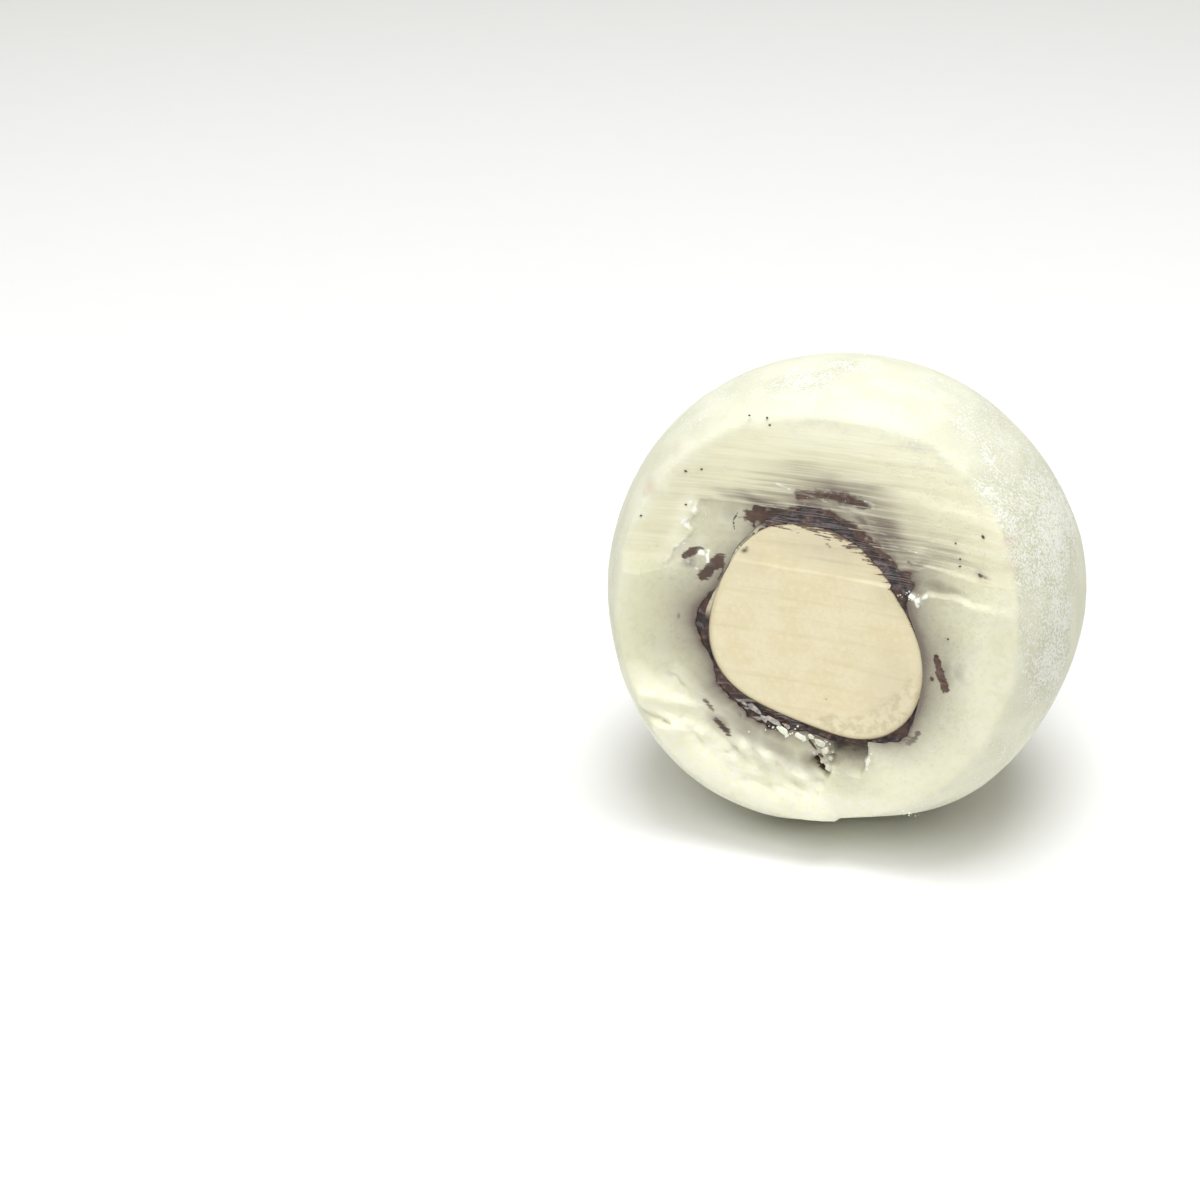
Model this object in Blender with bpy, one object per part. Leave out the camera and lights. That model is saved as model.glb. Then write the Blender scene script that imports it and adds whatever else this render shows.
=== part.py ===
"""A white chocolate coated hazelnut, 24 mm across, with one side cut away by a knife.

Three solids lie one inside the other: the thick coat, the nut's thin brown skin and its cream kernel.
A knife surface ends all three at the front: flat below, and above a crease falling back in a shelf and a slope.
The coat's lower left edge is torn into a lip, and a little coat has broken out under the kernel.
Units are metres, +Z is up, and the cut looks along -Y, leaning a few degrees upwards.
"""

import math

import bmesh
import bpy
from mathutils import Matrix, Vector, noise

# The ball and the flat spot that it rests on
BALL_RADIUS = 0.0120
BALL_CENTRE_X = 0.0001
BALL_CENTRE_Y = -0.00174
REST_RADIUS = 0.0034
BALL_SUBDIVISIONS = 5
# Swellings (+) and flats (-) of the hand-coated ball: direction, share of the radius, angular width
BALL_LOBES = (
    (Vector((-0.57, -0.53, -0.62)), 0.030, math.radians(30)),
    (Vector((-0.89, -0.09, 0.45)), 0.014, math.radians(30)),
    (Vector((0.49, 0.54, 0.69)), -0.030, math.radians(48)),
    (Vector((0.89, 0.09, -0.45)), -0.030, math.radians(20)),
    (Vector((0.23, -0.38, -0.90)), -0.022, math.radians(20)),
    (Vector((-0.60, 0.70, -0.20)), -0.020, math.radians(35)),
    (Vector((0.25, 0.95, -0.15)), 0.012, math.radians(30)),
)

# The cut: its lean, its distance from the ball's centre, and the block that makes it
FACE_LEAN = math.radians(7.5)
FACE_DEPTH = 0.0066
KNIFE_HALF_SPAN = 0.0132
KNIFE_STEP = 0.00060
KNIFE_REACH = 0.012

# The crease where the flat lower cut ends, and how the upper cut falls away behind it
CREASE_HEIGHT = 0.00255
CREASE_WAVE = 0.00018
CREASE_WAVE_LENGTH = 0.0052
CREASE_DROOP = 0.00055
SHELF_STEP_RIGHT = 0.00038
SHELF_STEP_LEFT = 0.00018
SHELF_STEP_NUT = 0.00004
SHELF_STARTS = 0.0034
SHELF_FULL = 0.0048
SHELF_HEIGHT = 0.00125
BACK_STEP_RIGHT = 0.00022
STEP_WIDTH = 0.00022
UPPER_SLOPE = 0.085
UPPER_TWIST = 9.0

# The torn lip along the lower left edge
LIP_INNER_RADIUS = 0.0072
LIP_OUTER_RADIUS = 0.0100
LIP_RISE = 0.00055
LIP_START = math.radians(-158)
LIP_END = math.radians(-78)
LIP_FADE = math.radians(9)
LIP_LUMP = 0.00030
LIP_LUMP_LENGTH = 0.0013

# The hollow broken out of the coat under the kernel
HOLLOW_RIGHT = 0.0023
HOLLOW_UP = -0.0062
HOLLOW_HALF_WIDTH = 0.0010
HOLLOW_HALF_HEIGHT = 0.0008
HOLLOW_DEPTH = 0.0009

# The kernel: its outline on the cut, and how it swells behind it
KERNEL_RIGHT = 0.0001
KERNEL_UP = -0.00045
KERNEL_RADIUS = 0.00524
KERNEL_OVAL = 0.096
KERNEL_OVAL_AXIS = math.radians(-40)
KERNEL_EGG = 0.060
KERNEL_EGG_AXIS = math.radians(-33)
KERNEL_SQUARE = 0.020
KERNEL_SQUARE_AXIS = math.radians(27)
KERNEL_HALF_DEPTH = 0.0062
KERNEL_CENTRE_DEPTH = 0.0031
KERNEL_DRIFT_RIGHT = -0.00035
KERNEL_DRIFT_UP = 0.00025
KERNEL_SEGMENTS = 40
KERNEL_RINGS = 18

# The skin round the kernel: thickest at the lower left, thinnest at the right
PIECE_GAP = 0.00010
SKIN_MEAN = 0.00028
SKIN_SWELL = 0.00012
SKIN_SWELL_SIDE = math.radians(-160)
SKIN_RECESS = 0.00010

# Colours
COAT_COLOUR = (0.80, 0.78, 0.58, 1.0)
SKIN_COLOUR = (0.085, 0.038, 0.020, 1.0)
KERNEL_COLOUR = (0.78, 0.68, 0.44, 1.0)


def clear_scene():
    """Empty the file of objects."""
    for item in list(bpy.data.objects):
        bpy.data.objects.remove(item, do_unlink=True)


def smooth(edge_low, edge_high, value):
    """Rise from 0 to 1 between the two edges."""
    share = min(max((value - edge_low) / (edge_high - edge_low), 0.0), 1.0)
    return share * share * (3.0 - 2.0 * share)


def bell(offset, width):
    """A bump of height 1 that has faded out at about two widths."""
    return math.exp(-((offset / width) ** 2))


def plain_material(name, colour, roughness):
    """One Principled material."""
    material = bpy.data.materials.new(name)
    material.use_nodes = True
    shader = material.node_tree.nodes["Principled BSDF"]
    shader.inputs["Base Color"].default_value = colour
    shader.inputs["Roughness"].default_value = roughness
    shader.inputs["Metallic"].default_value = 0.0
    material.diffuse_color = colour
    return material


def add_object(name, form, material=None):
    """Turn a finished bmesh into a linked object, shaded smooth."""
    mesh = bpy.data.meshes.new(name)
    form.to_mesh(mesh)
    form.free()
    mesh.shade_smooth()
    if material:
        mesh.materials.append(material)
    item = bpy.data.objects.new(name, mesh)
    bpy.context.collection.objects.link(item)
    return item


def add_cutter(name, form):
    """Turn a finished bmesh into a cutter."""
    item = add_object(name, form)
    item.hide_render = True
    item.display_type = "WIRE"
    return item


def subtract(target, cutter):
    """Cut one object out of another."""
    boolean = target.modifiers.new("cut by " + cutter.name, "BOOLEAN")
    boolean.operation = "DIFFERENCE"
    boolean.solver = "EXACT"
    boolean.object = cutter


def ball_radius(direction):
    """The ball's radius in one direction."""
    share = 1.0
    for axis, amount, width in BALL_LOBES:
        share += amount * bell(direction.angle(axis), width)
    return BALL_RADIUS * share


def ball_centre():
    """The ball's centre, at the height that leaves a flat spot of the wanted radius."""
    below = ball_radius(Vector((0.0, 0.0, -1.0)))
    return Vector((BALL_CENTRE_X, BALL_CENTRE_Y, math.sqrt(below**2 - REST_RADIUS**2)))


def face_frame():
    """The cut's own frame: x to the right, y up along the cut, z out of it."""
    outward = Vector((0.0, -math.cos(FACE_LEAN), math.sin(FACE_LEAN)))
    upward = Vector((0.0, math.sin(FACE_LEAN), math.cos(FACE_LEAN)))
    rightward = upward.cross(outward)
    frame = Matrix((rightward, upward, outward)).transposed().to_4x4()
    frame.translation = ball_centre() + FACE_DEPTH * outward
    return frame


def crease_height(right):
    """How far up the cut its crease runs, drooping near the rim."""
    wave = CREASE_WAVE * math.sin(right / CREASE_WAVE_LENGTH * math.tau)
    return CREASE_HEIGHT + wave - CREASE_DROOP * smooth(0.006, 0.0095, abs(right))


def upper_fall(right, above):
    """How far the upper cut lies behind the flat lower one."""
    right_side = smooth(SHELF_STARTS, SHELF_FULL, right)
    left_side = smooth(SHELF_STARTS, SHELF_FULL, -right)
    shelf = SHELF_STEP_NUT + SHELF_STEP_RIGHT * right_side + SHELF_STEP_LEFT * left_side
    fall = shelf * smooth(0.0, STEP_WIDTH, above)
    fall += BACK_STEP_RIGHT * right_side * smooth(SHELF_HEIGHT, SHELF_HEIGHT + STEP_WIDTH, above)
    slope = UPPER_SLOPE + UPPER_TWIST * max(right, 0.0)
    return fall + slope * max(above, 0.0)


def lip_rise(right, up):
    """How far the torn lip stands out of the flat cut."""
    radius = math.hypot(right, up)
    angle = math.atan2(up, right)
    along = smooth(LIP_START - LIP_FADE, LIP_START + LIP_FADE, angle)
    along *= 1.0 - smooth(LIP_END - LIP_FADE, LIP_END, angle)
    out = smooth(LIP_INNER_RADIUS, LIP_OUTER_RADIUS, radius)
    lump = noise.noise(Vector((right, up, 0.0)) / LIP_LUMP_LENGTH)
    return along * (LIP_RISE * out + LIP_LUMP * lump * smooth(0.0, 0.4, out))


def hollow_fall(right, up):
    """How deep the coat has broken out under the kernel."""
    across = ((right - HOLLOW_RIGHT) / HOLLOW_HALF_WIDTH) ** 2
    along = ((up - HOLLOW_UP) / HOLLOW_HALF_HEIGHT) ** 2
    return HOLLOW_DEPTH * bell(across + along, 1.0)


def knife_height(right, up):
    """How far the finished cut stands out of its flat plane."""
    above = up - crease_height(right)
    return lip_rise(right, up) - hollow_fall(right, up) - upper_fall(right, above)


def spaced_values(half_span, step, kept):
    """Evenly spaced values from end to end, with the kept ones in place of their near neighbours."""
    count = round(2.0 * half_span / step)
    values = list(kept)
    for index in range(count + 1):
        value = -half_span + 2.0 * half_span * index / count
        if all(abs(value - other) > 0.5 * step for other in kept):
            values.append(value)
    return sorted(values)


def make_ball():
    """The whole coated ball, before the knife."""
    centre = ball_centre()
    form = bmesh.new()
    bmesh.ops.create_icosphere(form, subdivisions=BALL_SUBDIVISIONS, radius=1.0)
    for vertex in form.verts:
        direction = vertex.co.normalized()
        vertex.co = centre + direction * ball_radius(direction)
    return form


def make_knife(recess=0.0):
    """The block in front of the cut: rows of points follow the crease, and its rear is the cut surface."""
    step_rows = (0.0, STEP_WIDTH, SHELF_HEIGHT, SHELF_HEIGHT + STEP_WIDTH)
    rows = spaced_values(KNIFE_HALF_SPAN, KNIFE_STEP, step_rows)
    columns = spaced_values(KNIFE_HALF_SPAN, KNIFE_STEP, ())
    form = bmesh.new()
    grid = []
    for above in rows:
        line = []
        for right in columns:
            up = crease_height(right) + above
            line.append(form.verts.new((right, up, knife_height(right, up) - recess)))
        grid.append(line)
    for lower, upper in zip(grid, grid[1:]):
        for column in range(len(columns) - 1):
            form.faces.new((lower[column], lower[column + 1], upper[column + 1], upper[column]))
    front = bmesh.ops.extrude_face_region(form, geom=form.faces[:])
    for item in front["geom"]:
        if isinstance(item, bmesh.types.BMVert):
            item.co.z = KNIFE_REACH
    bmesh.ops.recalc_face_normals(form, faces=form.faces[:])
    form.transform(face_frame())
    return form


def nut_outline(angle):
    """The kernel's radius on the cut, as a share of its mean."""
    oval = KERNEL_OVAL * math.cos(2.0 * (angle - KERNEL_OVAL_AXIS))
    egg = KERNEL_EGG * math.cos(3.0 * (angle - KERNEL_EGG_AXIS))
    square = KERNEL_SQUARE * math.cos(4.0 * (angle - KERNEL_SQUARE_AXIS))
    return 1.0 + oval + egg + square


def skin_thickness(angle):
    """The skin's thickness round the nut."""
    return SKIN_MEAN + SKIN_SWELL * math.cos(angle - SKIN_SWELL_SIDE)


def make_nut(gap, skin_share):
    """The nut's whole form, grown outwards by a gap and by a share of its skin."""
    widest = KERNEL_RADIUS / math.sqrt(1.0 - (KERNEL_CENTRE_DEPTH / KERNEL_HALF_DEPTH) ** 2)
    form = bmesh.new()
    bmesh.ops.create_uvsphere(form, u_segments=KERNEL_SEGMENTS, v_segments=KERNEL_RINGS, radius=1.0)
    for vertex in form.verts:
        ball = vertex.co.normalized()
        around = math.atan2(ball.y, ball.x)
        side_growth = gap + skin_share * skin_thickness(around)
        across = math.hypot(ball.x, ball.y) * (widest * nut_outline(around) + side_growth)
        depth = ball.z * (KERNEL_HALF_DEPTH + gap + skin_share * SKIN_MEAN) - KERNEL_CENTRE_DEPTH
        drift = -depth / KERNEL_CENTRE_DEPTH
        vertex.co.x = KERNEL_RIGHT + KERNEL_DRIFT_RIGHT * drift + across * math.cos(around)
        vertex.co.y = KERNEL_UP + KERNEL_DRIFT_UP * drift + across * math.sin(around)
        vertex.co.z = depth
    bmesh.ops.recalc_face_normals(form, faces=form.faces[:])
    form.transform(face_frame())
    return form


def make_table():
    """The block under the ball that leaves its flat spot."""
    half = 2.0 * BALL_RADIUS
    form = bmesh.new()
    bmesh.ops.create_cube(form, size=2.0 * half)
    bmesh.ops.translate(form, vec=Vector((0.0, 0.0, -half)), verts=form.verts[:])
    return form


def build_coat(knife):
    """The coat: the ball less the nut's pocket, the knife's side and the flat spot."""
    material = plain_material("white chocolate", COAT_COLOUR, 0.55)
    coat = add_object("white_chocolate_coat", make_ball(), material)
    subtract(coat, add_cutter("nut pocket", make_nut(2.0 * PIECE_GAP, 1.0)))
    subtract(coat, knife)
    subtract(coat, add_cutter("table", make_table()))


def build_skin():
    """The nut's brown skin, a thin cup open at the cut."""
    material = plain_material("hazelnut skin", SKIN_COLOUR, 0.7)
    skin = add_object("hazelnut_skin", make_nut(PIECE_GAP, 1.0), material)
    subtract(skin, add_cutter("skin inside", make_nut(PIECE_GAP, 0.0)))
    subtract(skin, add_cutter("skin knife", make_knife(SKIN_RECESS)))


def build_kernel(knife):
    """The cream kernel, ended by the same knife as the coat."""
    material = plain_material("hazelnut kernel", KERNEL_COLOUR, 0.6)
    kernel = add_object("hazelnut_kernel", make_nut(0.0, 0.0), material)
    subtract(kernel, knife)


def main():
    """Build the cut ball from its coat, skin and kernel."""
    clear_scene()
    knife = add_cutter("knife", make_knife())
    build_coat(knife)
    build_skin()
    build_kernel(knife)


main()
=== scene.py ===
"""The looks of a white chocolate coated hazelnut with one side cut away by a knife.

The coat, the nut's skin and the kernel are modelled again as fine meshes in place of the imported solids,
with the knife's lines, the shelf, the torn lip and the hollow. Skin flakes and crumbs lie on the cut.
Lengths in the shape functions are millimetres; meshes, properties and the scene are metres, +Z up.
"""

import math

import bpy
import numpy as np
from bpy.props import FloatProperty, FloatVectorProperty, IntProperty, PointerProperty
from mathutils import Matrix, Vector


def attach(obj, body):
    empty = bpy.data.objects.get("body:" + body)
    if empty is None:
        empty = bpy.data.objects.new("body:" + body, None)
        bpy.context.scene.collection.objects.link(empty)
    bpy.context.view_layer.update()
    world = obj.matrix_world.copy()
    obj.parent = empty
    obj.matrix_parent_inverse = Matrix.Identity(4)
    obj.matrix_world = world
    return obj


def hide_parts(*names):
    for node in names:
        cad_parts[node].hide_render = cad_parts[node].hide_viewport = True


bl_info = {
    "name": "Cut chocolate hazelnut",
    "version": (1, 0, 0),
    "blender": (4, 5, 0),
    "location": "3D View > Sidebar > Nut",
    "description": "Builds a coated hazelnut, cut open by a knife, on a white table",
    "category": "Object",
}

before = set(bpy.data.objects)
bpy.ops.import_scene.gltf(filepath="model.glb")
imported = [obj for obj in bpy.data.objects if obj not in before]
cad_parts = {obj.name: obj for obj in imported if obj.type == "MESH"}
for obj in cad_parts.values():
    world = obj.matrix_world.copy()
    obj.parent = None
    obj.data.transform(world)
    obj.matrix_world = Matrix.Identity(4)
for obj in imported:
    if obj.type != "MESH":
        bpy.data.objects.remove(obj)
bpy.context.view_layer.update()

MM = 0.001
BODY = "root"

# The ball: direction, share of the radius and width in degrees of each swelling or flat
BALL_LOBES = (
    ((-0.57, -0.53, -0.62), 0.030, 30),
    ((-0.89, -0.09, 0.45), 0.014, 30),
    ((0.49, 0.54, 0.69), -0.030, 48),
    ((0.89, 0.09, -0.45), -0.030, 20),
    ((0.23, -0.38, -0.90), -0.022, 20),
    ((-0.60, 0.70, -0.20), -0.020, 35),
    ((0.25, 0.95, -0.15), 0.012, 30),
    ((0.20, -0.46, -0.87), -0.040, 10),
)
BALL_CENTRE_X = 0.10
BALL_CENTRE_Y = -1.74
REST_RADIUS = 3.4
OUTER_WAVES = ((4.2, 0.060), (1.9, 0.022), (0.8, 0.009))

# The crease, the shelf above it and the slope of the upper cut
CREASE_RIGHT = (-9.0, -7.5, -6.0, -3.0, 3.0, 4.0, 5.05, 5.4, 6.7, 7.75, 9.2)
CREASE_UP = (1.3, 1.9, 2.8, 2.75, 2.6, 2.5, 2.12, 2.42, 2.45, 2.12, 2.0)
SHELF_STEP_RIGHT = 0.26
SHELF_STEP_LEFT = 0.16
SHELF_STEP_NUT = 0.04
SHELF_STARTS = 3.4
SHELF_FULL = 4.8
TONGUE_RIGHT = (3.4, 4.0, 4.9, 5.25, 6.8, 8.5)
TONGUE_UP = (3.55, 3.55, 3.58, 3.74, 3.48, 3.3)
TONGUE_STEP = 0.14
UPPER_SLOPE = 0.085
UPPER_TWIST = 0.009
PEEL_RIGHT = (1.0, 2.0, 3.3, 4.35, 5.4, 6.8, 8.2)
PEEL_UP = (7.05, 7.05, 6.92, 6.88, 6.57, 6.44, 6.1)
PEEL_STEP = 0.11
PATCH_SIDE_UP = (1.6, 2.8, 3.3, 3.9, 4.2, 4.8, 5.3, 5.8)
PATCH_SIDE_RIGHT = (-7.7, -7.3, -6.8, -6.35, -6.75, -6.3, -6.2, -5.9)
PATCH_TOP = 5.62
PATCH_STEP = 0.16

# The knife's lines: slightly bowed, fine across and long along
LINE_LEAN = 0.01
LINE_BOW = 0.0057

# Skin dragged over or caught in the coat: the line it follows, its half width and its strength
SMEARS = (
    (((-3.55, 5.0), (-2.6, 5.15), (-1.2, 5.35), (0.3, 5.35), (1.4, 5.15)), 0.50, 0.98),
    (((-1.3, 6.42), (0.1, 6.55), (1.2, 6.5), (2.0, 6.3)), 0.34, 0.86),
    (((1.3, 5.3), (2.4, 4.5), (3.4, 3.5), (4.0, 2.7)), 0.42, 0.95),
    (((-3.35, 5.36), (-3.05, 5.36)), 0.28, 1.3),
    (((-4.3, 5.0), (-4.48, 4.6), (-4.38, 4.2)), 0.06, 0.8),
    (((-3.3, 5.0), (-2.7, 4.78), (-2.0, 4.85)), 0.26, 1.0),
    (((-3.45, 4.9), (-3.36, 4.5)), 0.12, 0.95),
    (((4.3, 3.85), (4.5, 3.7)), 0.12, 0.6),
    (((6.15, -0.5), (6.3, -0.95)), 0.19, 1.1),
    (((6.3, -1.0), (6.5, -1.5), (6.74, -2.05)), 0.20, 1.15),
    (((6.0, -1.6), (6.05, -1.7)), 0.07, 1.2),
    (((5.62, -4.5), (5.42, -4.85), (5.18, -5.12)), 0.17, 0.88),
    (((-5.22, -4.72), (-5.02, -4.92), (-4.85, -5.15)), 0.18, 0.80),
    (((-4.6, -5.68), (-4.3, -5.95), (-3.95, -6.25)), 0.26, 0.84),
    (((-6.72, 2.55), (-6.35, 2.8), (-6.05, 3.0)), 0.19, 1.2),
    (((-5.65, 1.80), (-5.3, 2.15), (-4.95, 2.65)), 0.33, 1.25),
    (((-4.75, 2.75), (-4.7, 2.1), (-4.9, 1.7)), 0.08, 0.85),
    (((7.9, 3.72), (8.15, 3.62)), 0.08, 0.6),
)
# Soft spots on the cut, partly skin seen through the coat, partly painted shade by folds, crack and ledges:
# right, up, half length, half width, turn in degrees, amount
SKIN_AND_PAINTED_SHADE_CLOUDS = (
    (0.9, 6.7, 2.8, 0.95, -8, 0.85),
    (-2.5, 5.45, 2.2, 0.90, -5, 0.86),
    (-2.9, 5.80, 2.4, 0.40, -5, 1.0),
    (0.8, 6.05, 1.9, 0.5, -8, 0.86),
    (1.9, 5.5, 1.3, 0.5, -30, 0.90),
    (3.2, 4.95, 2.6, 1.1, -46, 0.84),
    (3.1, 4.5, 1.7, 0.6, -50, 0.92),
    (5.7, 4.4, 1.9, 0.6, -8, 0.50),
    (1.5, 6.95, 1.7, 0.55, -10, 0.74),
    (-4.6, 5.0, 0.8, 0.9, 0, 0.45),
    (5.6, 2.85, 1.5, 0.5, -8, 0.74),
    (7.0, 4.1, 1.8, 0.6, 0, 0.30),
    (6.4, 2.8, 1.0, 0.35, -5, 0.62),
    (-6.2, 5.4, 3.4, 2.8, 0, 0.22),
    (-7.9, 4.0, 2.0, 2.6, 0, 0.14),
    (-6.9, -1.0, 0.9, 1.6, 0, 0.40),
    (-6.78, -0.5, 0.22, 0.34, -20, 0.86),
    (-4.9, -4.6, 1.5, 1.0, -40, 0.34),
    (-3.1, -5.6, 2.2, 1.0, -30, 0.62),
    (-4.4, -5.75, 0.9, 0.6, -38, 0.68),
    (-1.4, -6.5, 1.7, 0.75, -28, 0.64),
    (-6.1, -1.3, 0.8, 1.5, -12, 0.66),
    (-6.4, 2.3, 0.7, 0.45, 25, 0.72),
    (-0.1, -6.95, 0.9, 0.45, -20, 0.42),
    (0.2, -6.9, 0.75, 0.7, -20, 0.74),
    (-8.1, -5.68, 0.8, 0.13, -18, 0.40),
    (7.8, 3.75, 0.5, 0.3, -15, 0.62),
    (4.3, -4.7, 1.3, 0.55, 38, 0.60),
    (6.6, -1.2, 0.7, 1.2, 15, 0.68),
    (7.35, -1.1, 0.5, 0.9, 15, 0.50),
)
# Olive tan patches, some of them painted shade at the cut's left edge and in the fold: right, up, half
# length, half width, turn in degrees, amount
TAN_AND_SHADE_SPOTS = (
    (-8.6, -1.0, 1.2, 3.2, 0, 0.70),
    (-8.1, -5.72, 0.8, 0.20, -18, 0.85),
    (-7.2, -5.1, 1.2, 0.30, -5, 0.35),
    (-6.06, -6.95, 0.5, 0.4, 0, 0.40),
    (-1.7, -8.31, 0.6, 0.35, -15, 0.55),
    (-0.26, -8.26, 0.5, 0.25, -15, 0.70),
    (-0.49, -9.42, 0.6, 0.3, -15, 0.35),
)
# Painted light: pale spots on the cut's top, lower right and right edge, painted highlights on the ledge and
# lump tops, and a few white smears at the upper left: right, up, half length, half width, turn in degrees,
# amount
PAINTED_LIGHT_AND_WHITE_SPOTS = (
    (0.0, 9.6, 6.5, 0.9, -3, 0.70),
    (4.4, 8.9, 2.4, 0.9, -15, 0.50),
    (-7.0, 8.3, 1.5, 0.7, 45, 0.45),
    (-6.95, 4.9, 0.9, 0.40, 62, 0.55),
    (-7.35, 3.6, 0.9, 0.36, 66, 0.50),
    (-8.1, -4.68, 1.0, 0.26, 8, 0.90),
    (-6.3, -4.90, 1.2, 0.20, -8, 0.75),
    (-8.0, -6.15, 0.8, 0.26, -20, 0.70),
    (-6.4, -6.30, 1.0, 0.28, -4, 0.70),
    (-3.1, -6.72, 0.50, 0.30, -30, 0.95),
    (-1.85, -7.0, 0.65, 0.32, -25, 1.0),
    (-0.1, -7.75, 0.80, 0.24, -15, 0.85),
    (-2.4, -8.9, 0.35, 0.5, 0, 0.50),
    (5.6, -6.8, 3.2, 1.6, 38, 0.50),
    (8.3, -1.8, 0.9, 4.2, 0, 0.40),
)
PINK_SPOTS = (
    (-8.9, 5.65, 0.35, 0.35, 0, 0.7),
    (-9.15, 5.3, 0.22, 0.22, 0, 0.5),
    (-7.8, 7.55, 0.3, 0.3, 0, 0.4),
    (8.9, 5.4, 0.35, 0.35, 0, 0.4),
    (9.1, 4.3, 0.25, 0.25, 0, 0.45),
)
KERNEL_FLECKS = (
    (-3.70, 3.31, 0.17, 0.11, 20, 1.0),
    (-3.62, 3.45, 0.09, 0.06, 60, 0.9),
    (0.36, 4.22, 0.07, 0.05, 0, 0.9),
    (0.50, 4.12, 0.06, 0.05, 0, 0.8),
    (0.92, -3.56, 0.05, 0.04, 0, 0.6),
)
KERNEL_CLOUDS = (
    (0.6, 4.0, 3.4, 1.0, -6, 0.60),
    (3.3, 2.6, 1.6, 0.9, -52, 0.40),
    (4.1, -2.4, 1.3, 2.2, 0, 0.34),
    (-3.4, 3.0, 1.2, 0.8, 45, 0.30),
)
# Lumps in the torn coat, with their height in mm as the last value
LUMPS = (
    (-7.9, -6.05, 0.9, 0.28, -18, 0.20),
    (-6.4, -6.20, 0.8, 0.30, -6, 0.20),
    (-5.2, -6.45, 0.5, 0.35, -20, 0.16),
    (-3.1, -6.75, 0.55, 0.35, -30, 0.22),
    (-3.6, -7.35, 0.7, 0.35, -25, 0.14),
    (-1.85, -7.05, 0.70, 0.38, -25, 0.24),
    (-0.9, -7.45, 0.6, 0.35, -30, 0.18),
    (-0.1, -7.80, 0.75, 0.30, -15, 0.20),
    (-2.3, -8.0, 0.7, 0.35, -20, 0.12),
)
# White lines and ragged white edges: the line, its half width and its strength
FIBRES = (
    (((-4.4, 5.66), (-3.4, 5.62), (-1.9, 5.62), (-0.6, 5.60)), 0.045, 1.0),
    (((-6.9, 5.75), (-5.2, 5.72), (-4.2, 5.69)), 0.04, 0.5),
    (((-2.4, 6.8), (-1.2, 6.5), (-0.4, 6.4)), 0.045, 1.0),
    (((-0.4, 6.4), (0.45, 6.15), (1.7, 6.0)), 0.035, 0.7),
    (((0.9, 6.05), (2.6, 5.9), (4.4, 5.67)), 0.035, 0.6),
    (((1.9, 6.55), (2.4, 6.42)), 0.07, 0.9),
    (((0.9, 5.5), (2.1, 5.3), (3.6, 4.9)), 0.035, 0.6),
    (((2.2, 4.75), (2.98, 4.63), (4.2, 4.4), (5.3, 4.2)), 0.045, 0.7),
    (((3.0, 4.2), (3.8, 4.1), (4.8, 3.95)), 0.05, 0.6),
    (((-2.8, 8.6), (-1.5, 8.58), (1.1, 8.7)), 0.04, 0.3),
    (((-5.6, 4.45), (-4.4, 4.35)), 0.035, 0.4),
    (((-0.6, 5.95), (1.0, 5.9), (2.6, 5.55)), 0.03, 0.6),
)
ROUGH_WHITES = (
    (((-6.6, 5.25), (-6.45, 4.85)), 0.24, 0.9),
    (((-6.9, 4.2), (-6.5, 3.9)), 0.24, 0.8),
    (((-6.7, 3.4), (-7.2, 2.9), (-7.6, 2.1)), 0.15, 0.7),
    (((-5.95, 2.85), (-5.6, 2.9), (-5.5, 2.55)), 0.12, 1.0),
    (((-6.5, 2.3), (-6.0, 2.1)), 0.14, 0.7),
    (((3.95, 2.55), (4.5, 2.4), (5.0, 2.10), (5.4, 2.42)), 0.10, 1.0),
    (((4.95, 2.05), (5.05, 1.85)), 0.08, 0.9),
    (((3.15, -5.6), (3.3, -6.0), (3.22, -6.8)), 0.10, 1.0),
)

# The torn lip: how far round it reaches, its ledge, its fold and its seam
LIP_INNER_RADIUS = 7.0
LIP_OUTER_RADIUS = 9.8
LIP_RISE = 0.50
LIP_START = math.radians(-155)
LIP_END = math.radians(-79)
LIP_FADE = math.radians(5)
LIP_SAG = 0.22
LEDGE = ((-9.2, -4.65), (-8.2, -4.5), (-7.6, -4.52), (-6.7, -4.75), (-5.5, -4.75))
FOLD = ((-8.7, -5.45), (-8.3, -5.65), (-7.5, -5.9), (-6.9, -6.1))
SEAM = ((1.2, -7.4), (1.1, -7.95), (0.7, -8.35), (0.95, -8.95), (1.1, -9.5), (1.7, -9.95))
# The rim laps out before the seam: where it rises, drops at the seam and fades, in degrees
LAP_DEGREES = ((-106, -85), (-79.8, -78.6), (-45, -62))
LAP_STEP = 0.42
LAP_REST = 0.04

# The hollow and the crack under the kernel
HOLLOW_RIGHT = 2.25
HOLLOW_UP = -6.2
HOLLOW_HALF_WIDTH = 0.95
HOLLOW_HALF_HEIGHT = 1.05
HOLLOW_DEPTH = 1.15
CRACK = ((0.60, -6.80), (0.85, -7.15), (1.2, -7.42))
CRACK_WIDTH = 0.17
CRACK_DEPTH = 0.75

# The nut: its outline on the cut, and how it swells behind
KERNEL_RIGHT = 0.10
KERNEL_UP = -0.45
KERNEL_OVAL = (0.096, math.radians(-40))
KERNEL_EGG = (0.060, math.radians(-33))
KERNEL_SQUARE = (0.020, math.radians(27))
KERNEL_HALF_DEPTH = 6.2
KERNEL_CENTRE_DEPTH = 3.1
KERNEL_DRIFT_RIGHT = -0.35
KERNEL_DRIFT_UP = 0.25

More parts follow.
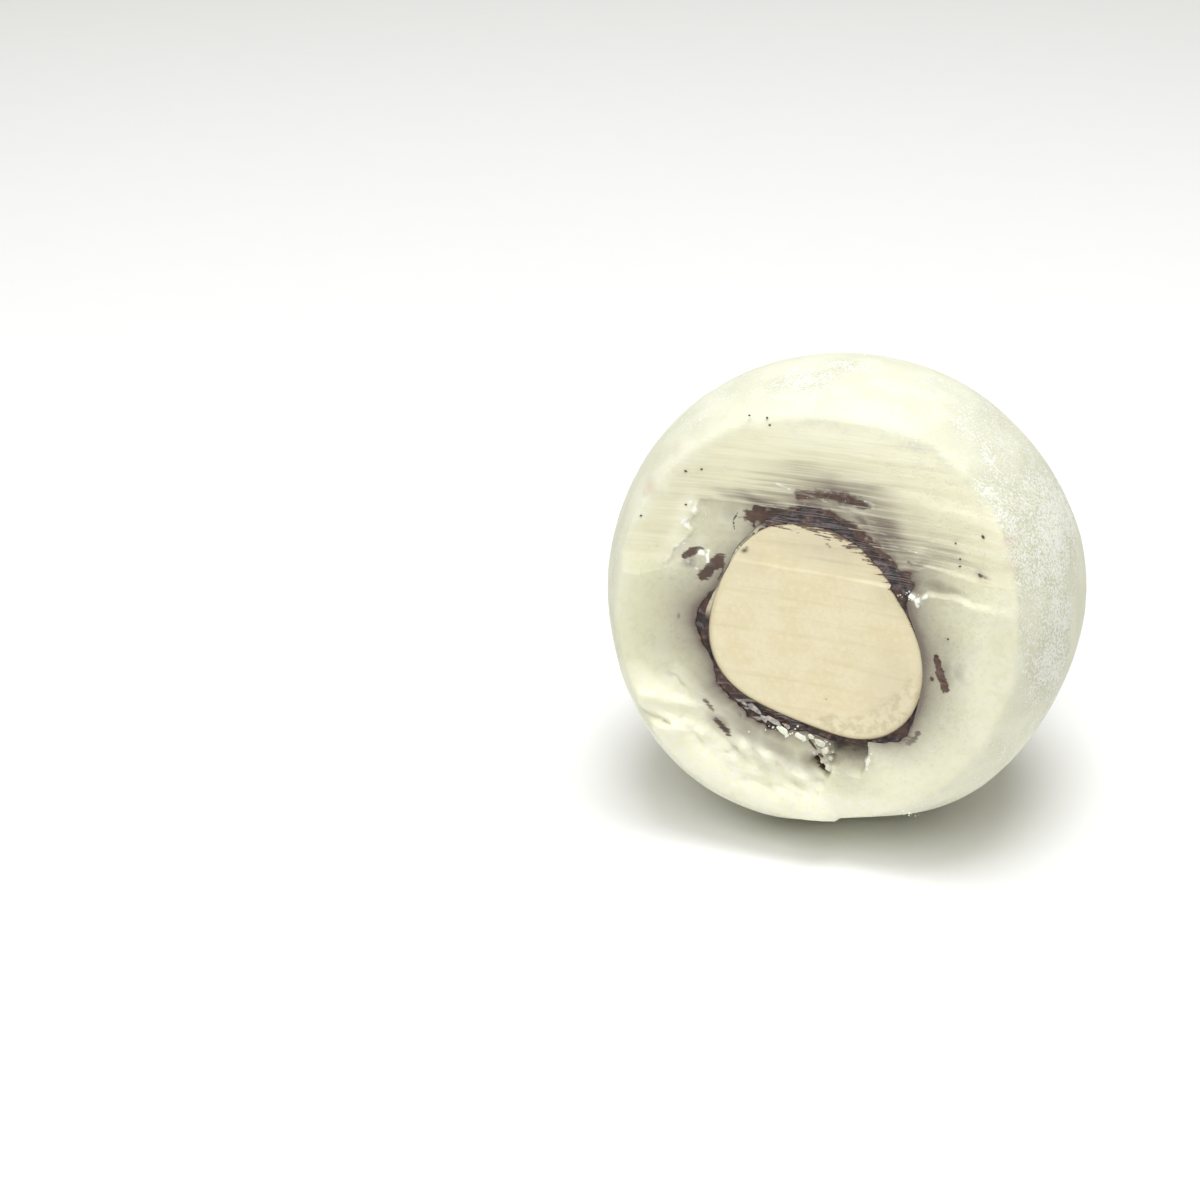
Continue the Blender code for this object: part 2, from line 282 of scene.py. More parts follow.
# The skin's width on the cut: a thin base, and swellings at angle, half width in degrees, extra width
SKIN_BASE = 0.035
SKIN_SWELLS = (
    (174, 12, 0.55),
    (188, 9, 0.50),
    (-146, 8, 0.26),
    (-118, 20, 1.0),
    (-80, 16, 0.34),
    (-43, 11, 0.54),
    (12, 20, 0.05),
    (38, 11, 0.72),
    (47, 8, 0.30),
    (58, 14, 0.42),
    (97, 20, 0.78),
)
PIECE_GAP = 0.012
NUT_NOISE_RADIUS = 5.5
RIM_NOISE_RADIUS = 9.0
RIM_NEAREST = 6.0
RIM_FARTHEST = 13.5
HALVINGS = 26
EDGE_STEPS = 8

# The grey shade of skin behind the coat: at each angle, how strong it starts and how far it reaches
SHADE_ANGLE = (0, 30, 60, 90, 120, 135, 150, 180, 205, 240, 285, 300, 315, 360)
SHADE_START = (0.80, 0.76, 0.72, 0.78, 0.72, 0.42, 0.66, 0.82, 0.74, 0.66, 0.70, 0.45, 0.74, 0.80)
SHADE_REACH = (1.85, 1.9, 2.2, 2.1, 1.8, 2.6, 2.0, 2.0, 1.8, 1.7, 1.35, 1.15, 1.35, 1.85)

# Mesh fineness
COLUMNS = 720
COARSE = 3
BALL_RINGS = 60
NEAR_RIM_RINGS = 14
FACE_RINGS = 96
POCKET_RINGS = 16
KERNEL_COLUMNS = 480
KERNEL_RINGS = 91
KERNEL_BACK_RINGS = 18
SKIN_RINGS = 14
WALL_RINGS = 10
RIM_REACH = 12
RIM_PASSES = 30


class CutNutShape(bpy.types.PropertyGroup):
    """Sizes of the cut ball and its nut."""

    ball_radius: FloatProperty(
        name="Ball radius", description="Mean radius of the coated ball", default=0.012, unit="LENGTH"
    )
    cut_depth: FloatProperty(
        name="Cut depth", description="From the ball's centre to the cut", default=0.0066, unit="LENGTH"
    )
    cut_lean: FloatProperty(
        name="Cut lean",
        description="How far the cut looks upwards",
        default=math.radians(7.5), subtype="ANGLE",
    )
    kernel_radius: FloatProperty(
        name="Kernel radius",
        description="Mean radius of the kernel on the cut",
        default=0.00524, unit="LENGTH",
    )
    line_relief: FloatProperty(
        name="Knife lines",
        description="Height of the lines on the upper cut",
        default=0.00004, unit="LENGTH",
    )
    torn_relief: FloatProperty(
        name="Torn relief",
        description="Height of the lumps in the torn lip",
        default=0.00024, unit="LENGTH",
    )
    crumb_count: IntProperty(
        name="Crumbs", description="Number that each place on the cut takes its share of", default=150
    )


class CutNutColours(bpy.types.PropertyGroup):
    """Colours of the coat, skin and kernel."""

    outside: FloatVectorProperty(
        name="Outside", description="Coat's outer surface", subtype="COLOR", default=(0.76, 0.76, 0.595)
    )
    bloom: FloatVectorProperty(
        name="Bloom",
        description="White dust on the outside",
        subtype="COLOR", default=(0.96, 0.96, 0.89),
    )
    cut: FloatVectorProperty(
        name="Cut",
        description="Coat where the knife passed",
        subtype="COLOR", default=(0.86, 0.85, 0.63),
    )
    upper_cut: FloatVectorProperty(
        name="Upper cut",
        description="Coat on the striped upper cut",
        subtype="COLOR", default=(0.90, 0.87, 0.64),
    )
    # Also the colour of painted shade: the hollow, beside the crack, the fold and the torn lip's valleys
    shade: FloatVectorProperty(
        name="Shade",
        description="Thin coat with dark skin behind it",
        subtype="COLOR", default=(0.19, 0.152, 0.128),
    )
    torn: FloatVectorProperty(
        name="Torn coat", description="Rough broken coat", subtype="COLOR", default=(0.95, 0.93, 0.72)
    )
    skin: FloatVectorProperty(
        name="Skin", description="The nut's brown skin", subtype="COLOR", default=(0.060, 0.042, 0.036)
    )
    skin_red: FloatVectorProperty(
        name="Red skin",
        description="Thin skin that light comes through",
        subtype="COLOR", default=(0.13, 0.062, 0.040),
    )
    kernel: FloatVectorProperty(
        name="Kernel", description="The kernel's cut", subtype="COLOR", default=(0.865, 0.78, 0.55)
    )
    kernel_pale: FloatVectorProperty(
        name="Broken kernel",
        description="Kernel where it broke",
        subtype="COLOR", default=(0.86, 0.78, 0.56),
    )


class CutNutStage(bpy.types.PropertyGroup):
    """Camera and light."""

    azimuth: FloatProperty(
        name="Azimuth",
        description="Camera's turn to the right",
        default=math.radians(20), subtype="ANGLE",
    )
    elevation: FloatProperty(
        name="Elevation", description="Camera's height angle", default=math.radians(26), subtype="ANGLE"
    )
    distance: FloatProperty(
        name="Distance", description="Camera to the ball's centre", default=0.14284, unit="LENGTH"
    )
    lens: FloatProperty(name="Lens", description="Focal length in mm on a 36 mm sensor", default=85.0)
    sky: FloatProperty(name="Sky", description="Strength of the even white surround", default=0.27)
    lamp_above: FloatProperty(name="Lamp above", description="Power in watts", default=0.80)
    lamp_left: FloatProperty(name="Lamp at the left", description="Power in watts", default=0.07)
    lamp_front: FloatProperty(name="Lamp in front", description="Power in watts", default=0.52)


def smooth(low, high, value):
    """Rise from 0 to 1 between two edges."""
    share = np.clip((value - low) / (high - low), 0.0, 1.0)
    return share * share * (3.0 - 2.0 * share)


def bell(offset, width):
    """A bump of height 1 that has faded out at about two widths."""
    return np.exp(-((offset / width) ** 2))


def turns(count):
    """Angles all the way round, in even steps."""
    return np.arange(count) / count * math.tau


def turn_between(angle, other):
    """The angle between two directions, from -pi to pi."""
    return (angle - other + math.pi) % math.tau - math.pi


def lattice_value(cell, seed):
    """A fixed draw from -1 to 1 for each whole-numbered cell."""
    mixed = cell.astype(np.int64) @ np.array([73856093, 19349663, 83492791]) + seed * 6542989
    mixed = (mixed ^ (mixed >> 13)) * 1274126177
    mixed = (mixed ^ (mixed >> 16)) & 0xFFFF
    return mixed / 32767.5 - 1.0


def noise(points, seed):
    """Smooth noise from -1 to 1, with cells one unit wide."""
    cell = np.floor(points)
    part = points - cell
    part = part * part * (3.0 - 2.0 * part)
    total = 0.0
    for corner in np.ndindex(2, 2, 2):
        weight = np.prod(np.where(np.array(corner) == 1, part, 1.0 - part), axis=-1)
        total = total + weight * lattice_value(cell + np.array(corner), seed)
    return total


def flat_noise(right, up, length_right, length_up, seed):
    """Noise on the cut with its own lengths to the right and up."""
    flat = np.stack([right / length_right, up / length_up, np.full_like(right, 0.5)], axis=-1)
    return noise(flat, seed)


def ring_noise(angle, radius, length, seed):
    """Noise round a circle, with lumps of a length in mm."""
    return flat_noise(radius * np.cos(angle), radius * np.sin(angle), length, length, seed)


def axes():
    """The cut's own axes: right, up along the cut, and out of it."""
    lean = bpy.context.scene.nut_shape.cut_lean
    right = np.array([1.0, 0.0, 0.0])
    up = np.array([0.0, math.sin(lean), math.cos(lean)])
    out = np.array([0.0, -math.cos(lean), math.sin(lean)])
    return right, up, out


def setting(name):
    """One of the part's lengths, in mm."""
    return getattr(bpy.context.scene.nut_shape, name) / MM


def cone_bell(direction, axis, degrees):
    """A bump over the directions near an axis."""
    return bell(np.arccos(np.clip(direction @ axis, -1.0, 1.0)), math.radians(degrees))


def side_bell(angle, middle, half):
    """A bump over the angles near a middle one, both given in degrees."""
    return bell(turn_between(angle, math.radians(middle)), math.radians(half))


def ball_radius(direction):
    """The ball's radius in mm along unit directions."""
    share = np.ones(direction.shape[:-1])
    for axis, amount, degrees in BALL_LOBES:
        share += amount * cone_bell(direction, np.array(axis) / np.linalg.norm(axis), degrees)
    return setting("ball_radius") * share


def ball_centre():
    """The ball's centre in mm, at the height that leaves its flat spot."""
    below = float(ball_radius(np.array([0.0, 0.0, -1.0])))
    return np.array([BALL_CENTRE_X, BALL_CENTRE_Y, math.sqrt(below**2 - REST_RADIUS**2)])


def from_cut(right, up, out):
    """Points in mm of the row frame from places on the cut."""
    ax, ay, az = axes()
    start = ball_centre() + setting("cut_depth") * az
    return start + right[..., None] * ax + up[..., None] * ay + out[..., None] * az


def line_distance(right, up, line):
    """The distance in mm to a bent line on the cut."""
    nearest = np.full(np.shape(right), 99.0)
    for (x, y), (next_x, next_y) in zip(line[:-1], line[1:]):
        run = next_x - x
        climb = next_y - y
        share = np.clip(((right - x) * run + (up - y) * climb) / (run**2 + climb**2), 0.0, 1.0)
        nearest = np.minimum(nearest, np.hypot(right - x - share * run, up - y - share * climb))
    return nearest


def spot_sum(right, up, spots):
    """The strongest of several soft oval spots."""
    strongest = np.zeros_like(right)
    for x, y, half_length, half_width, degrees, amount in spots:
        turn = math.radians(degrees)
        along = (right - x) * math.cos(turn) + (up - y) * math.sin(turn)
        across = (up - y) * math.cos(turn) - (right - x) * math.sin(turn)
        away = np.hypot(along / half_length, across / half_width)
        strongest = np.maximum(strongest, amount * bell(away, 1.0))
    return strongest


def billow(right, up, size, seed):
    """Rounded lumps from 0 to 1, with creases between them."""
    total = 0.0
    weight = 0.0
    for octave in range(3):
        turn = 0.6 + 1.1 * octave
        x = right * math.cos(turn) - up * math.sin(turn)
        y = right * math.sin(turn) + up * math.cos(turn)
        scale = size / 2.0**octave
        total = total + np.abs(flat_noise(x, y, scale, scale, seed + octave)) / 2.0**octave
        weight += 0.5 / 2.0**octave
    return np.clip(total / weight, 0.0, 1.0)


def crease_height(right):
    """How far up the cut its crease runs."""
    ragged = 0.07 * flat_noise(right, right, 0.35, 9.0, 3) * smooth(3.6, 4.4, right)
    return np.interp(right, CREASE_RIGHT, CREASE_UP) + ragged


def across_lines(right, up):
    """The height that stays the same along one of the knife's bowed lines."""
    return up + LINE_LEAN * right + LINE_BOW * right**2


def knife_lines(right, up):
    """Relief of the knife's lines, from about -1 to 1."""
    level = across_lines(right, up)
    broad = flat_noise(right, level, 6.0, 0.55, 11)
    fine = flat_noise(right, level, 3.6, 0.21, 12)
    hair = flat_noise(right, level, 1.8, 0.09, 13)
    return 0.4 * broad + 0.4 * fine + 0.3 * hair


def upper_share(right, up):
    """1 on the striped upper cut, 0 on the flat lower one."""
    soft = np.where(right < 0.0, 1.6, 0.5)
    return smooth(0.0, 1.0, (up - crease_height(right)) / soft)


def patch_share(right, up):
    """1 on the smooth sunken patch left of the kernel's top."""
    side = np.interp(up, PATCH_SIDE_UP, PATCH_SIDE_RIGHT) + 0.14 * flat_noise(right, up, 0.42, 0.3, 22)
    inside = smooth(-0.07, 0.07, right - side) * smooth(-1.2, -2.6, right)
    above = up - np.interp(right, (-7.5, -5.9, -3.0), (1.9, 2.7, 2.6))
    level = across_lines(right, up) + 0.05 * flat_noise(right, up, 0.25, 2.0, 23)
    return inside * smooth(-0.5, 0.4, above) * smooth(PATCH_TOP + 0.04, PATCH_TOP - 0.04, level)


def strip_share(right, up):
    """1 on the smooth grey strip between the crease and the tongue's edge at the right."""
    tongue = np.interp(right, TONGUE_RIGHT, TONGUE_UP)
    above = smooth(0.0, 0.12, up - crease_height(right))
    return above * smooth(0.0, 0.1, tongue - up) * smooth(3.4, 4.0, right)


def upper_fall(right, up):
    """How far the upper cut lies behind the lower one."""
    above = up - crease_height(right)
    left_side = smooth(SHELF_STARTS, SHELF_FULL, -right)
    step = SHELF_STEP_NUT + SHELF_STEP_RIGHT * smooth(0.5, 6.0, right) * smooth(9.6, 6.2, right)
    fall = step * smooth(0.0, 0.13 + 0.25 * smooth(5.8, 8.0, right), above)
    fall += SHELF_STEP_LEFT * left_side * smooth(0.0, 1.2, above)
    tongue = np.interp(right, TONGUE_RIGHT, TONGUE_UP) + 0.05 * flat_noise(right, up, 0.3, 3.0, 5)
    tongue_side = smooth(2.5, 5.5, right)
    fall += TONGUE_STEP * tongue_side * smooth(tongue, tongue + 0.12, up) * smooth(8.6, 6.6, right)
    peel = np.interp(right, PEEL_RIGHT, PEEL_UP) + 0.05 * flat_noise(right, up, 0.5, 3.0, 21)
    peel_side = smooth(1.6, 3.6, right) * smooth(8.8, 7.6, right)
    fall += PEEL_STEP * peel_side * (smooth(peel - 0.2, peel + 0.5, up) - smooth(peel - 1.8, peel, up))
    return fall + (UPPER_SLOPE + UPPER_TWIST * np.maximum(right, 0.0)) * np.maximum(above, 0.0)


def torn_share(right, up):
    """1 where the coat tore instead of being cut."""
    radius = np.hypot(right, up)
    angle = np.arctan2(up, right)
    wander = 0.07 * flat_noise(right, up, 1.1, 1.1, 31)
    along = smooth(LIP_START - LIP_FADE, LIP_START + LIP_FADE, angle + wander)
    along = along * (1.0 - smooth(LIP_END - LIP_FADE, LIP_END, angle + 0.6 * wander))
    inner = np.interp(angle, (-2.8, -2.4, -1.8, -1.4), (7.3, 6.9, 6.3, 7.6))
    inner = inner + 0.4 * flat_noise(right, up, 1.3, 1.3, 32)
    return along * smooth(inner - 0.4, inner + 0.5, radius)


def torn_lumps(right, up):
    """Cloud-like lumps from 0 to 1, drawn out along the lip."""
    along = 0.90 * right - 0.44 * up
    across = 0.44 * right + 0.90 * up
    return 0.84 * billow(0.55 * along, across, 1.0, 33) + 0.16 * billow(0.7 * along, across, 0.40, 37)


def torn_relief(right, up):
    """The torn lip: a smooth swollen rim with cloud-like lumps inside it, a ledge and a fold."""
    radius = np.hypot(right, up)
    share = torn_share(right, up)
    rim = smooth(8.2, 9.4, radius + 0.3 * flat_noise(right, up, 1.4, 1.4, 36))
    rise = LIP_RISE * smooth(LIP_INNER_RADIUS + 0.6, LIP_OUTER_RADIUS, radius)
    sag = LIP_SAG * bell(radius - LIP_INNER_RADIUS - 0.9, 0.9)
    height = setting("torn_relief")
    lumpy = 0.52 * height * (1.0 - 0.80 * rim) * (1.9 * torn_lumps(right, up) - 0.9)
    lumpy = lumpy + 1.7 * spot_sum(right, up, LUMPS)
    ledge = 0.22 * bell(line_distance(right, up + 0.25, LEDGE), 0.30)
    fold = 0.36 * bell(line_distance(right, up, FOLD), 0.14)
    seam = 0.07 * bell(line_distance(right, up, SEAM), 0.12)
    return share * (rise - sag + lumpy - fold) + ledge * smooth(-5.0, -5.8, right) - seam


def hollow_share(right, up):
    """How deep the hollow under the kernel is, from 0 to 1."""
    ragged = 0.22 * flat_noise(right, up, 0.5, 0.4, 41) + 0.10 * flat_noise(right, up, 0.2, 0.16, 43)
    x = (right - HOLLOW_RIGHT) / HOLLOW_HALF_WIDTH + ragged
    y = (up - HOLLOW_UP) / HOLLOW_HALF_HEIGHT + 0.6 * ragged
    inside = smooth(1.0, 0.86, x) * smooth(-1.15, -0.75, x) * smooth(-1.1, -0.65, y)
    return inside * (0.35 + 0.65 * smooth(-1.0, 0.4, y)) * smooth(2.2, 1.4, y)


def crack_share(right, up):
    """1 along the dark crack beside the hollow."""
    wander = 0.10 * flat_noise(right, up, 0.3, 0.25, 42)
    return bell(line_distance(right + wander, up, CRACK), CRACK_WIDTH)


def band_sum(right, up, bands, raggedness, seed):
    """The strongest of several soft bands along lines."""
    ragged = 1.0 + raggedness * flat_noise(right, up, 0.16, 0.12, seed)
    ragged = ragged + 0.6 * raggedness * flat_noise(right, up, 0.45, 0.3, seed + 1)
    strongest = np.zeros_like(right)
    for line, half, amount in bands:
        strongest = np.maximum(strongest, amount * bell(line_distance(right, up, line), half * ragged))
    return strongest


def painted_ledge_highlights(right, up):
    """White where a layer's upper edge catches the light."""
    right_side = smooth(3.4, 4.4, right)
    shelf = bell(up - crease_height(right) + 0.02, 0.05) * (0.2 + 0.8 * smooth(6.2, 5.0, right))
    shelf = shelf * smooth(8.4, 6.8, right)
    tongue = 0.4 * bell(up - np.interp(right, TONGUE_RIGHT, TONGUE_UP) + 0.03, 0.06) * smooth(6.6, 5.0, right)
    peel = bell(up - np.interp(right, PEEL_RIGHT, PEEL_UP) - 0.12, 0.30) * smooth(2.6, 3.6, right)
    ragged = smooth(-0.9, 0.3, flat_noise(right, up, 0.22, 0.16, 24))
    edges = np.maximum(shelf * ragged, 0.7 * tongue * ragged) * right_side
    return np.maximum(edges, 0.14 * peel * smooth(8.4, 6.4, right))


def white_edges(right, up):
    """White marks: painted highlights on the upper edges of layers, ragged white edges, torn crumbs and
    bright fibres.
    """
    broken = smooth(-0.5, 0.3, flat_noise(right, up, 0.30, 0.14, 26))
    white = np.maximum(0.66 * band_sum(right, up, FIBRES, 0.5, 25) * broken, painted_ledge_highlights(right, up))
    rough = band_sum(right, up, ROUGH_WHITES, 0.6, 27) * smooth(0.15, 0.55, billow(right, up, 0.5, 28))
    return np.maximum(white, rough)


def cut_height(right, up):
    """How far the coat's cut stands out of its flat plane, in mm."""
    upper = upper_share(right, up)
    lines = setting("line_relief") * knife_lines(right, up)
    patch = patch_share(right, up)
    height = torn_relief(right, up) - upper_fall(right, up)
    height = height + lines * (0.10 + 0.90 * upper * (1.0 - 0.9 * patch))
    height = height - PATCH_STEP * patch
    height = height + 0.03 * band_sum(right, up, FIBRES, 0.35, 25)
    rough = band_sum(right, up, ROUGH_WHITES, 0.5, 27)
    height = height + rough * 0.09 * billow(right, up, 0.5, 28)
    height = height - HOLLOW_DEPTH * hollow_share(right, up) - CRACK_DEPTH * crack_share(right, up)
    return height + 0.015 * flat_noise(right, up, 1.6, 1.6, 51)


def kernel_height(right, up):
    """How far the kernel's cut stands out of the flat plane, in mm."""
    upper = upper_share(right, up)
    lines = setting("line_relief") * knife_lines(right, up)
    broken = broken_share(right, up)
    chips = 0.05 * np.abs(flat_noise(right, up, 0.35, 0.28, 61)) + 0.02 * flat_noise(right, up, 0.1, 0.1, 62)
    return -upper_fall(right, up) + lines * (0.15 + 0.5 * upper) - broken * (0.03 + chips)


def skin_height(right, up):
    """How far the skin's top stands out; it bridges the hollow and the crack."""
    return np.maximum(cut_height(right, up), kernel_height(right, up) - 0.22)


def broken_share(right, up):
    """1 on the rough pale band along the kernel's lower right edge."""
    angle = np.arctan2(up - KERNEL_UP, right - KERNEL_RIGHT)
    radius = np.hypot(right - KERNEL_RIGHT, up - KERNEL_UP) / kernel_radius(angle)
    side = side_bell(angle, -52, 38)
    inner = 0.90 - 0.16 * side + 0.05 * flat_noise(right, up, 0.6, 0.6, 63)
    return smooth(inner, inner + 0.05, radius) * smooth(0.15, 0.6, side)


def from_middle(angle, radius):
    """Places on the cut round the kernel's middle."""
    return KERNEL_RIGHT + radius * np.cos(angle), KERNEL_UP + radius * np.sin(angle)


def kernel_radius(angle):
    """The kernel's radius in mm on the flat plane of the cut."""
    share = 1.0
    for count, (amount, turn) in zip((2, 3, 4), (KERNEL_OVAL, KERNEL_EGG, KERNEL_SQUARE)):
        share = share + amount * np.cos(count * (angle - turn))
    top = side_bell(angle, 75, 45)
    ragged = 0.07 * top * ring_noise(angle, NUT_NOISE_RADIUS, 0.33, 64)
    flat = 0.26 * side_bell(angle, 100, 17)
    flat = flat + 0.24 * side_bell(angle, -78, 22)
    return setting("kernel_radius") * share - flat + ragged


def flush_share(angle):
    """1 where coat and kernel meet with hardly any skin between."""
    top_left = np.minimum(1.25 * side_bell(angle, 142, 20), 1.0)
    return np.maximum(top_left, 0.55 * side_bell(angle, -2, 22))


def skin_width(angle):
    """The skin's width in mm on the cut."""
    width = SKIN_BASE + np.zeros_like(angle)
    for middle, half, extra in SKIN_SWELLS:
        width = width + extra * side_bell(angle, middle, half)
    ragged = 0.30 * ring_noise(angle, NUT_NOISE_RADIUS, 0.9, 71)
    ragged = ragged + 0.28 * ring_noise(angle, NUT_NOISE_RADIUS, 0.28, 72)
    return np.maximum(width * (1.0 + ragged) * (1.0 - 0.85 * flush_share(angle)), 0.02)


def nut_point(angle, growth, depth):
    """Places on the nut's surface, grown outwards, at a depth below the flat plane."""
    swell = math.sqrt(1.0 - (KERNEL_CENTRE_DEPTH / KERNEL_HALF_DEPTH) ** 2)
    height = np.clip((KERNEL_CENTRE_DEPTH - depth) / KERNEL_HALF_DEPTH, -1.0, 1.0)
    across = np.sqrt(1.0 - height**2) * kernel_radius(angle) / swell + growth
    drift = depth / KERNEL_CENTRE_DEPTH
    right = KERNEL_RIGHT + KERNEL_DRIFT_RIGHT * drift + across * np.cos(angle)
    up = KERNEL_UP + KERNEL_DRIFT_UP * drift + across * np.sin(angle)
    return right, up


def edge_on_cut(angle, growth, height_of):
    """Where the grown nut meets the cut surface."""
    depth = np.zeros_like(angle)
    for _ in range(EDGE_STEPS):
        right, up = nut_point(angle, growth, depth)
        depth = 0.5 * depth - 0.5 * np.clip(height_of(right, up), -1.5, 0.3)
    return nut_point(angle, growth, depth)


def rim_radius(angle):
    """How far from the kernel's middle the cut meets the ball."""
    low = np.full_like(angle, RIM_NEAREST)
    high = np.full_like(angle, RIM_FARTHEST)
    for _ in range(HALVINGS):
        middle = 0.5 * (low + high)
        right, up = from_middle(angle, middle)
        place = from_cut(right, up, cut_height(right, up)) - ball_centre()
        reach = np.linalg.norm(place, axis=-1)
        inside = reach < ball_radius(place / reach[:, None])
        low = np.where(inside, middle, low)
        high = np.where(inside, high, middle)
    return low


class RingMesh:
    """A closed mesh made of rings of points, first to last, with a single point at each end."""

    def __init__(self):
        self.points = []
        self.faces = []
        self.marks = {}
        self.count = 0
        self.last = None

    def add(self, ring, **marks):
        """Add one ring, and join it to the one before."""
        first = self.count
        size = len(ring)
        self.points.append(ring)
        for name, value in marks.items():
            self.marks.setdefault(name, []).append((first, np.broadcast_to(value, size)))
        self.count += size
        if self.last is not None:
            self.join(self.last, (first, size))
        self.last = (first, size)

    def join(self, one, other):
        """Faces between two rings of the same size, of three to one, or of a ring and a point."""
        start, size = one
        next_start, next_size = other
        if size < next_size:
            flipped = RingMesh()
            flipped.join(other, one)
            self.faces += [face[::-1] for face in flipped.faces]
            return
        index = np.arange(size)
        after = (index + 1) % size
        if next_size == 1:
            self.faces += [(start + a, start + b, next_start) for a, b in zip(index, after)]
        elif next_size == size:
            corners = np.stack([start + index, start + after, next_start + after, next_start + index], 1)
            self.faces += corners.tolist()
        else:
            for coarse in range(next_size):
                near = next_start + coarse
                far = next_start + (coarse + 1) % next_size
                fine = [start + (coarse * COARSE + step) % size for step in range(COARSE + 1)]
                self.faces.append((fine[0], fine[1], near))
                self.faces.append((fine[1], far, near))
                self.faces.append((fine[1], fine[2], far))
                self.faces.append((fine[2], fine[3], far))

    def mesh(self, name):
        """The finished mesh, facing out, in metres."""
        points = np.concatenate(self.points) * MM
        made = bpy.data.meshes.new(name)
        made.from_pydata(points.tolist(), [], self.faces)
        for key, parts in self.marks.items():
            values = np.zeros(self.count, np.float32)
            for first, value in parts:
                values[first : first + len(value)] = value
            made.attributes.new(key, "FLOAT", "POINT").data.foreach_set("value", values)
        face_out(made)
        made.shade_smooth()
        return made


def face_out(mesh):
    """Turn a closed mesh right side out."""
    mesh.calc_loop_triangles()
    corners = np.empty(len(mesh.loop_triangles) * 3, np.int32)
    mesh.loop_triangles.foreach_get("vertices", corners)
    points = np.empty(len(mesh.vertices) * 3, np.float32)
    mesh.vertices.foreach_get("co", points)
    one, two, three = points.reshape(-1, 3)[corners.reshape(-1, 3)].transpose(1, 0, 2)
    if np.sum(one * np.cross(two, three)) < 0.0:
        mesh.flip_normals()


def show(name, data):
    """Add an object to the scene."""
    made = bpy.data.objects.new(name, data)
    bpy.context.scene.collection.objects.link(made)
    return made


def loose_mesh(name, points, faces, **marks):
    """A mesh of points in mm and faces, with its marks."""
    mesh = bpy.data.meshes.new(name)
    mesh.from_pydata((np.array(points) * MM).tolist(), [], faces)
    for key, values in marks.items():
        mesh.attributes.new(key, "FLOAT", "POINT").data.foreach_set("value", values)
    return mesh


def add_piece(name, mesh, material, node):
    """Link a finished piece; where a node is named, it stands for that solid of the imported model."""
    mesh.materials.append(material)
    piece = show(name, mesh)
    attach(piece, BODY)
    if node:
        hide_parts(node)


class Nodes:
    """Short calls for building one node tree."""

    def __init__(self, tree):
        self.tree = tree

    def join(self, value, socket):
        """Feed a socket from another one, or set its value."""
        if isinstance(value, bpy.types.NodeSocket):
            self.tree.links.new(value, socket)
        else:
            socket.default_value = value

    def add(self, kind, inputs=None, **settings):
        """A node with settings, and with inputs that are values or sockets."""
        node = self.tree.nodes.new(kind)
        for key, value in settings.items():
            setattr(node, key, value)
        for key, value in (inputs or {}).items():
            self.join(value, node.inputs[key])
        return node

    def math(self, operation, one, two):
        """One operation on two values."""
        return self.add("ShaderNodeMath", {0: one, 1: two}, operation=operation).outputs[0]

    def times(self, one, two):
        """Two values multiplied."""
        return self.math("MULTIPLY", one, two)

    def plus(self, one, two):
        """Two values added."""
        return self.math("ADD", one, two)

    def swing(self, value, amount):
        """How far a value lies from a half, times an amount."""
        return self.times(self.math("SUBTRACT", value, 0.5), amount)

    def rise(self, value, low, high):
        """A smooth step from 0 to 1."""
        inputs = {"Value": value, "From Min": low, "From Max": high}
        return self.add("ShaderNodeMapRange", inputs, interpolation_type="SMOOTHSTEP").outputs["Result"]

    def between(self, value, low, high):
        """A value from 0 to 1 spread from low to high."""
        inputs = {"Value": value, "To Min": low, "To Max": high}
        return self.add("ShaderNodeMapRange", inputs).outputs["Result"]

    def mix(self, share, one, two):
        """Two colours mixed."""
        node = self.add("ShaderNodeMix", {0: share}, data_type="RGBA")
        for index, value in ((6, one), (7, two)):
            plain = not isinstance(value, bpy.types.NodeSocket)
            self.join((*value[:3], 1.0) if plain else value, node.inputs[index])
        return node.outputs[2]

    def noise(self, vector, size, detail=3.0, roughness=0.55):
        """Noise with bumps of a given size in metres."""
        inputs = {"Vector": vector, "Scale": 1.0 / size, "Detail": detail, "Roughness": roughness}
        return self.add("ShaderNodeTexNoise", inputs).outputs["Fac"]

    def tinted(self, share, amount, one, two):
        """Two colours mixed by part of a share."""
        return self.mix(self.times(share, amount), one, two)

    def mark(self, name):
        """A mask that the mesh carries."""
        return self.add("ShaderNodeAttribute", attribute_name=name).outputs["Fac"]

    def place(self):
        """The row frame's own coordinates."""
        return self.add("ShaderNodeTexCoord").outputs["Object"]

    def group(self, name, **inputs):
        """A shared effect, with its values for this material."""
        node = self.add("ShaderNodeGroup", node_tree=bpy.data.node_groups[name])
        for key, value in inputs.items():
            self.join(value, node.inputs[key])
        return node.outputs

    def bump(self, height, distance, strength=1.0, normal=None):
        """A bump of a height in metres."""
        inputs = {"Height": height, "Distance": distance, "Strength": strength}
        if normal is not None:
            inputs["Normal"] = normal
        return self.add("ShaderNodeBump", inputs).outputs["Normal"]


SCALAR = "NodeSocketFloat"
PLACE = ("Place", "NodeSocketVector", None)


def new_group(name, inputs, outputs):
    """An empty shared node group with named sockets; returns its nodes and both ends."""
    tree = bpy.data.node_groups.new(name, "ShaderNodeTree")
    for key, kind, value in inputs:
        socket = tree.interface.new_socket(key, in_out="INPUT", socket_type=kind)
        if value is not None:
            socket.default_value = value
    for key, kind in outputs:
        tree.interface.new_socket(key, in_out="OUTPUT", socket_type=kind)
    nodes = Nodes(tree)
    start = nodes.add("NodeGroupInput")
    end = nodes.add("NodeGroupOutput")
    return nodes, start.outputs, end.inputs


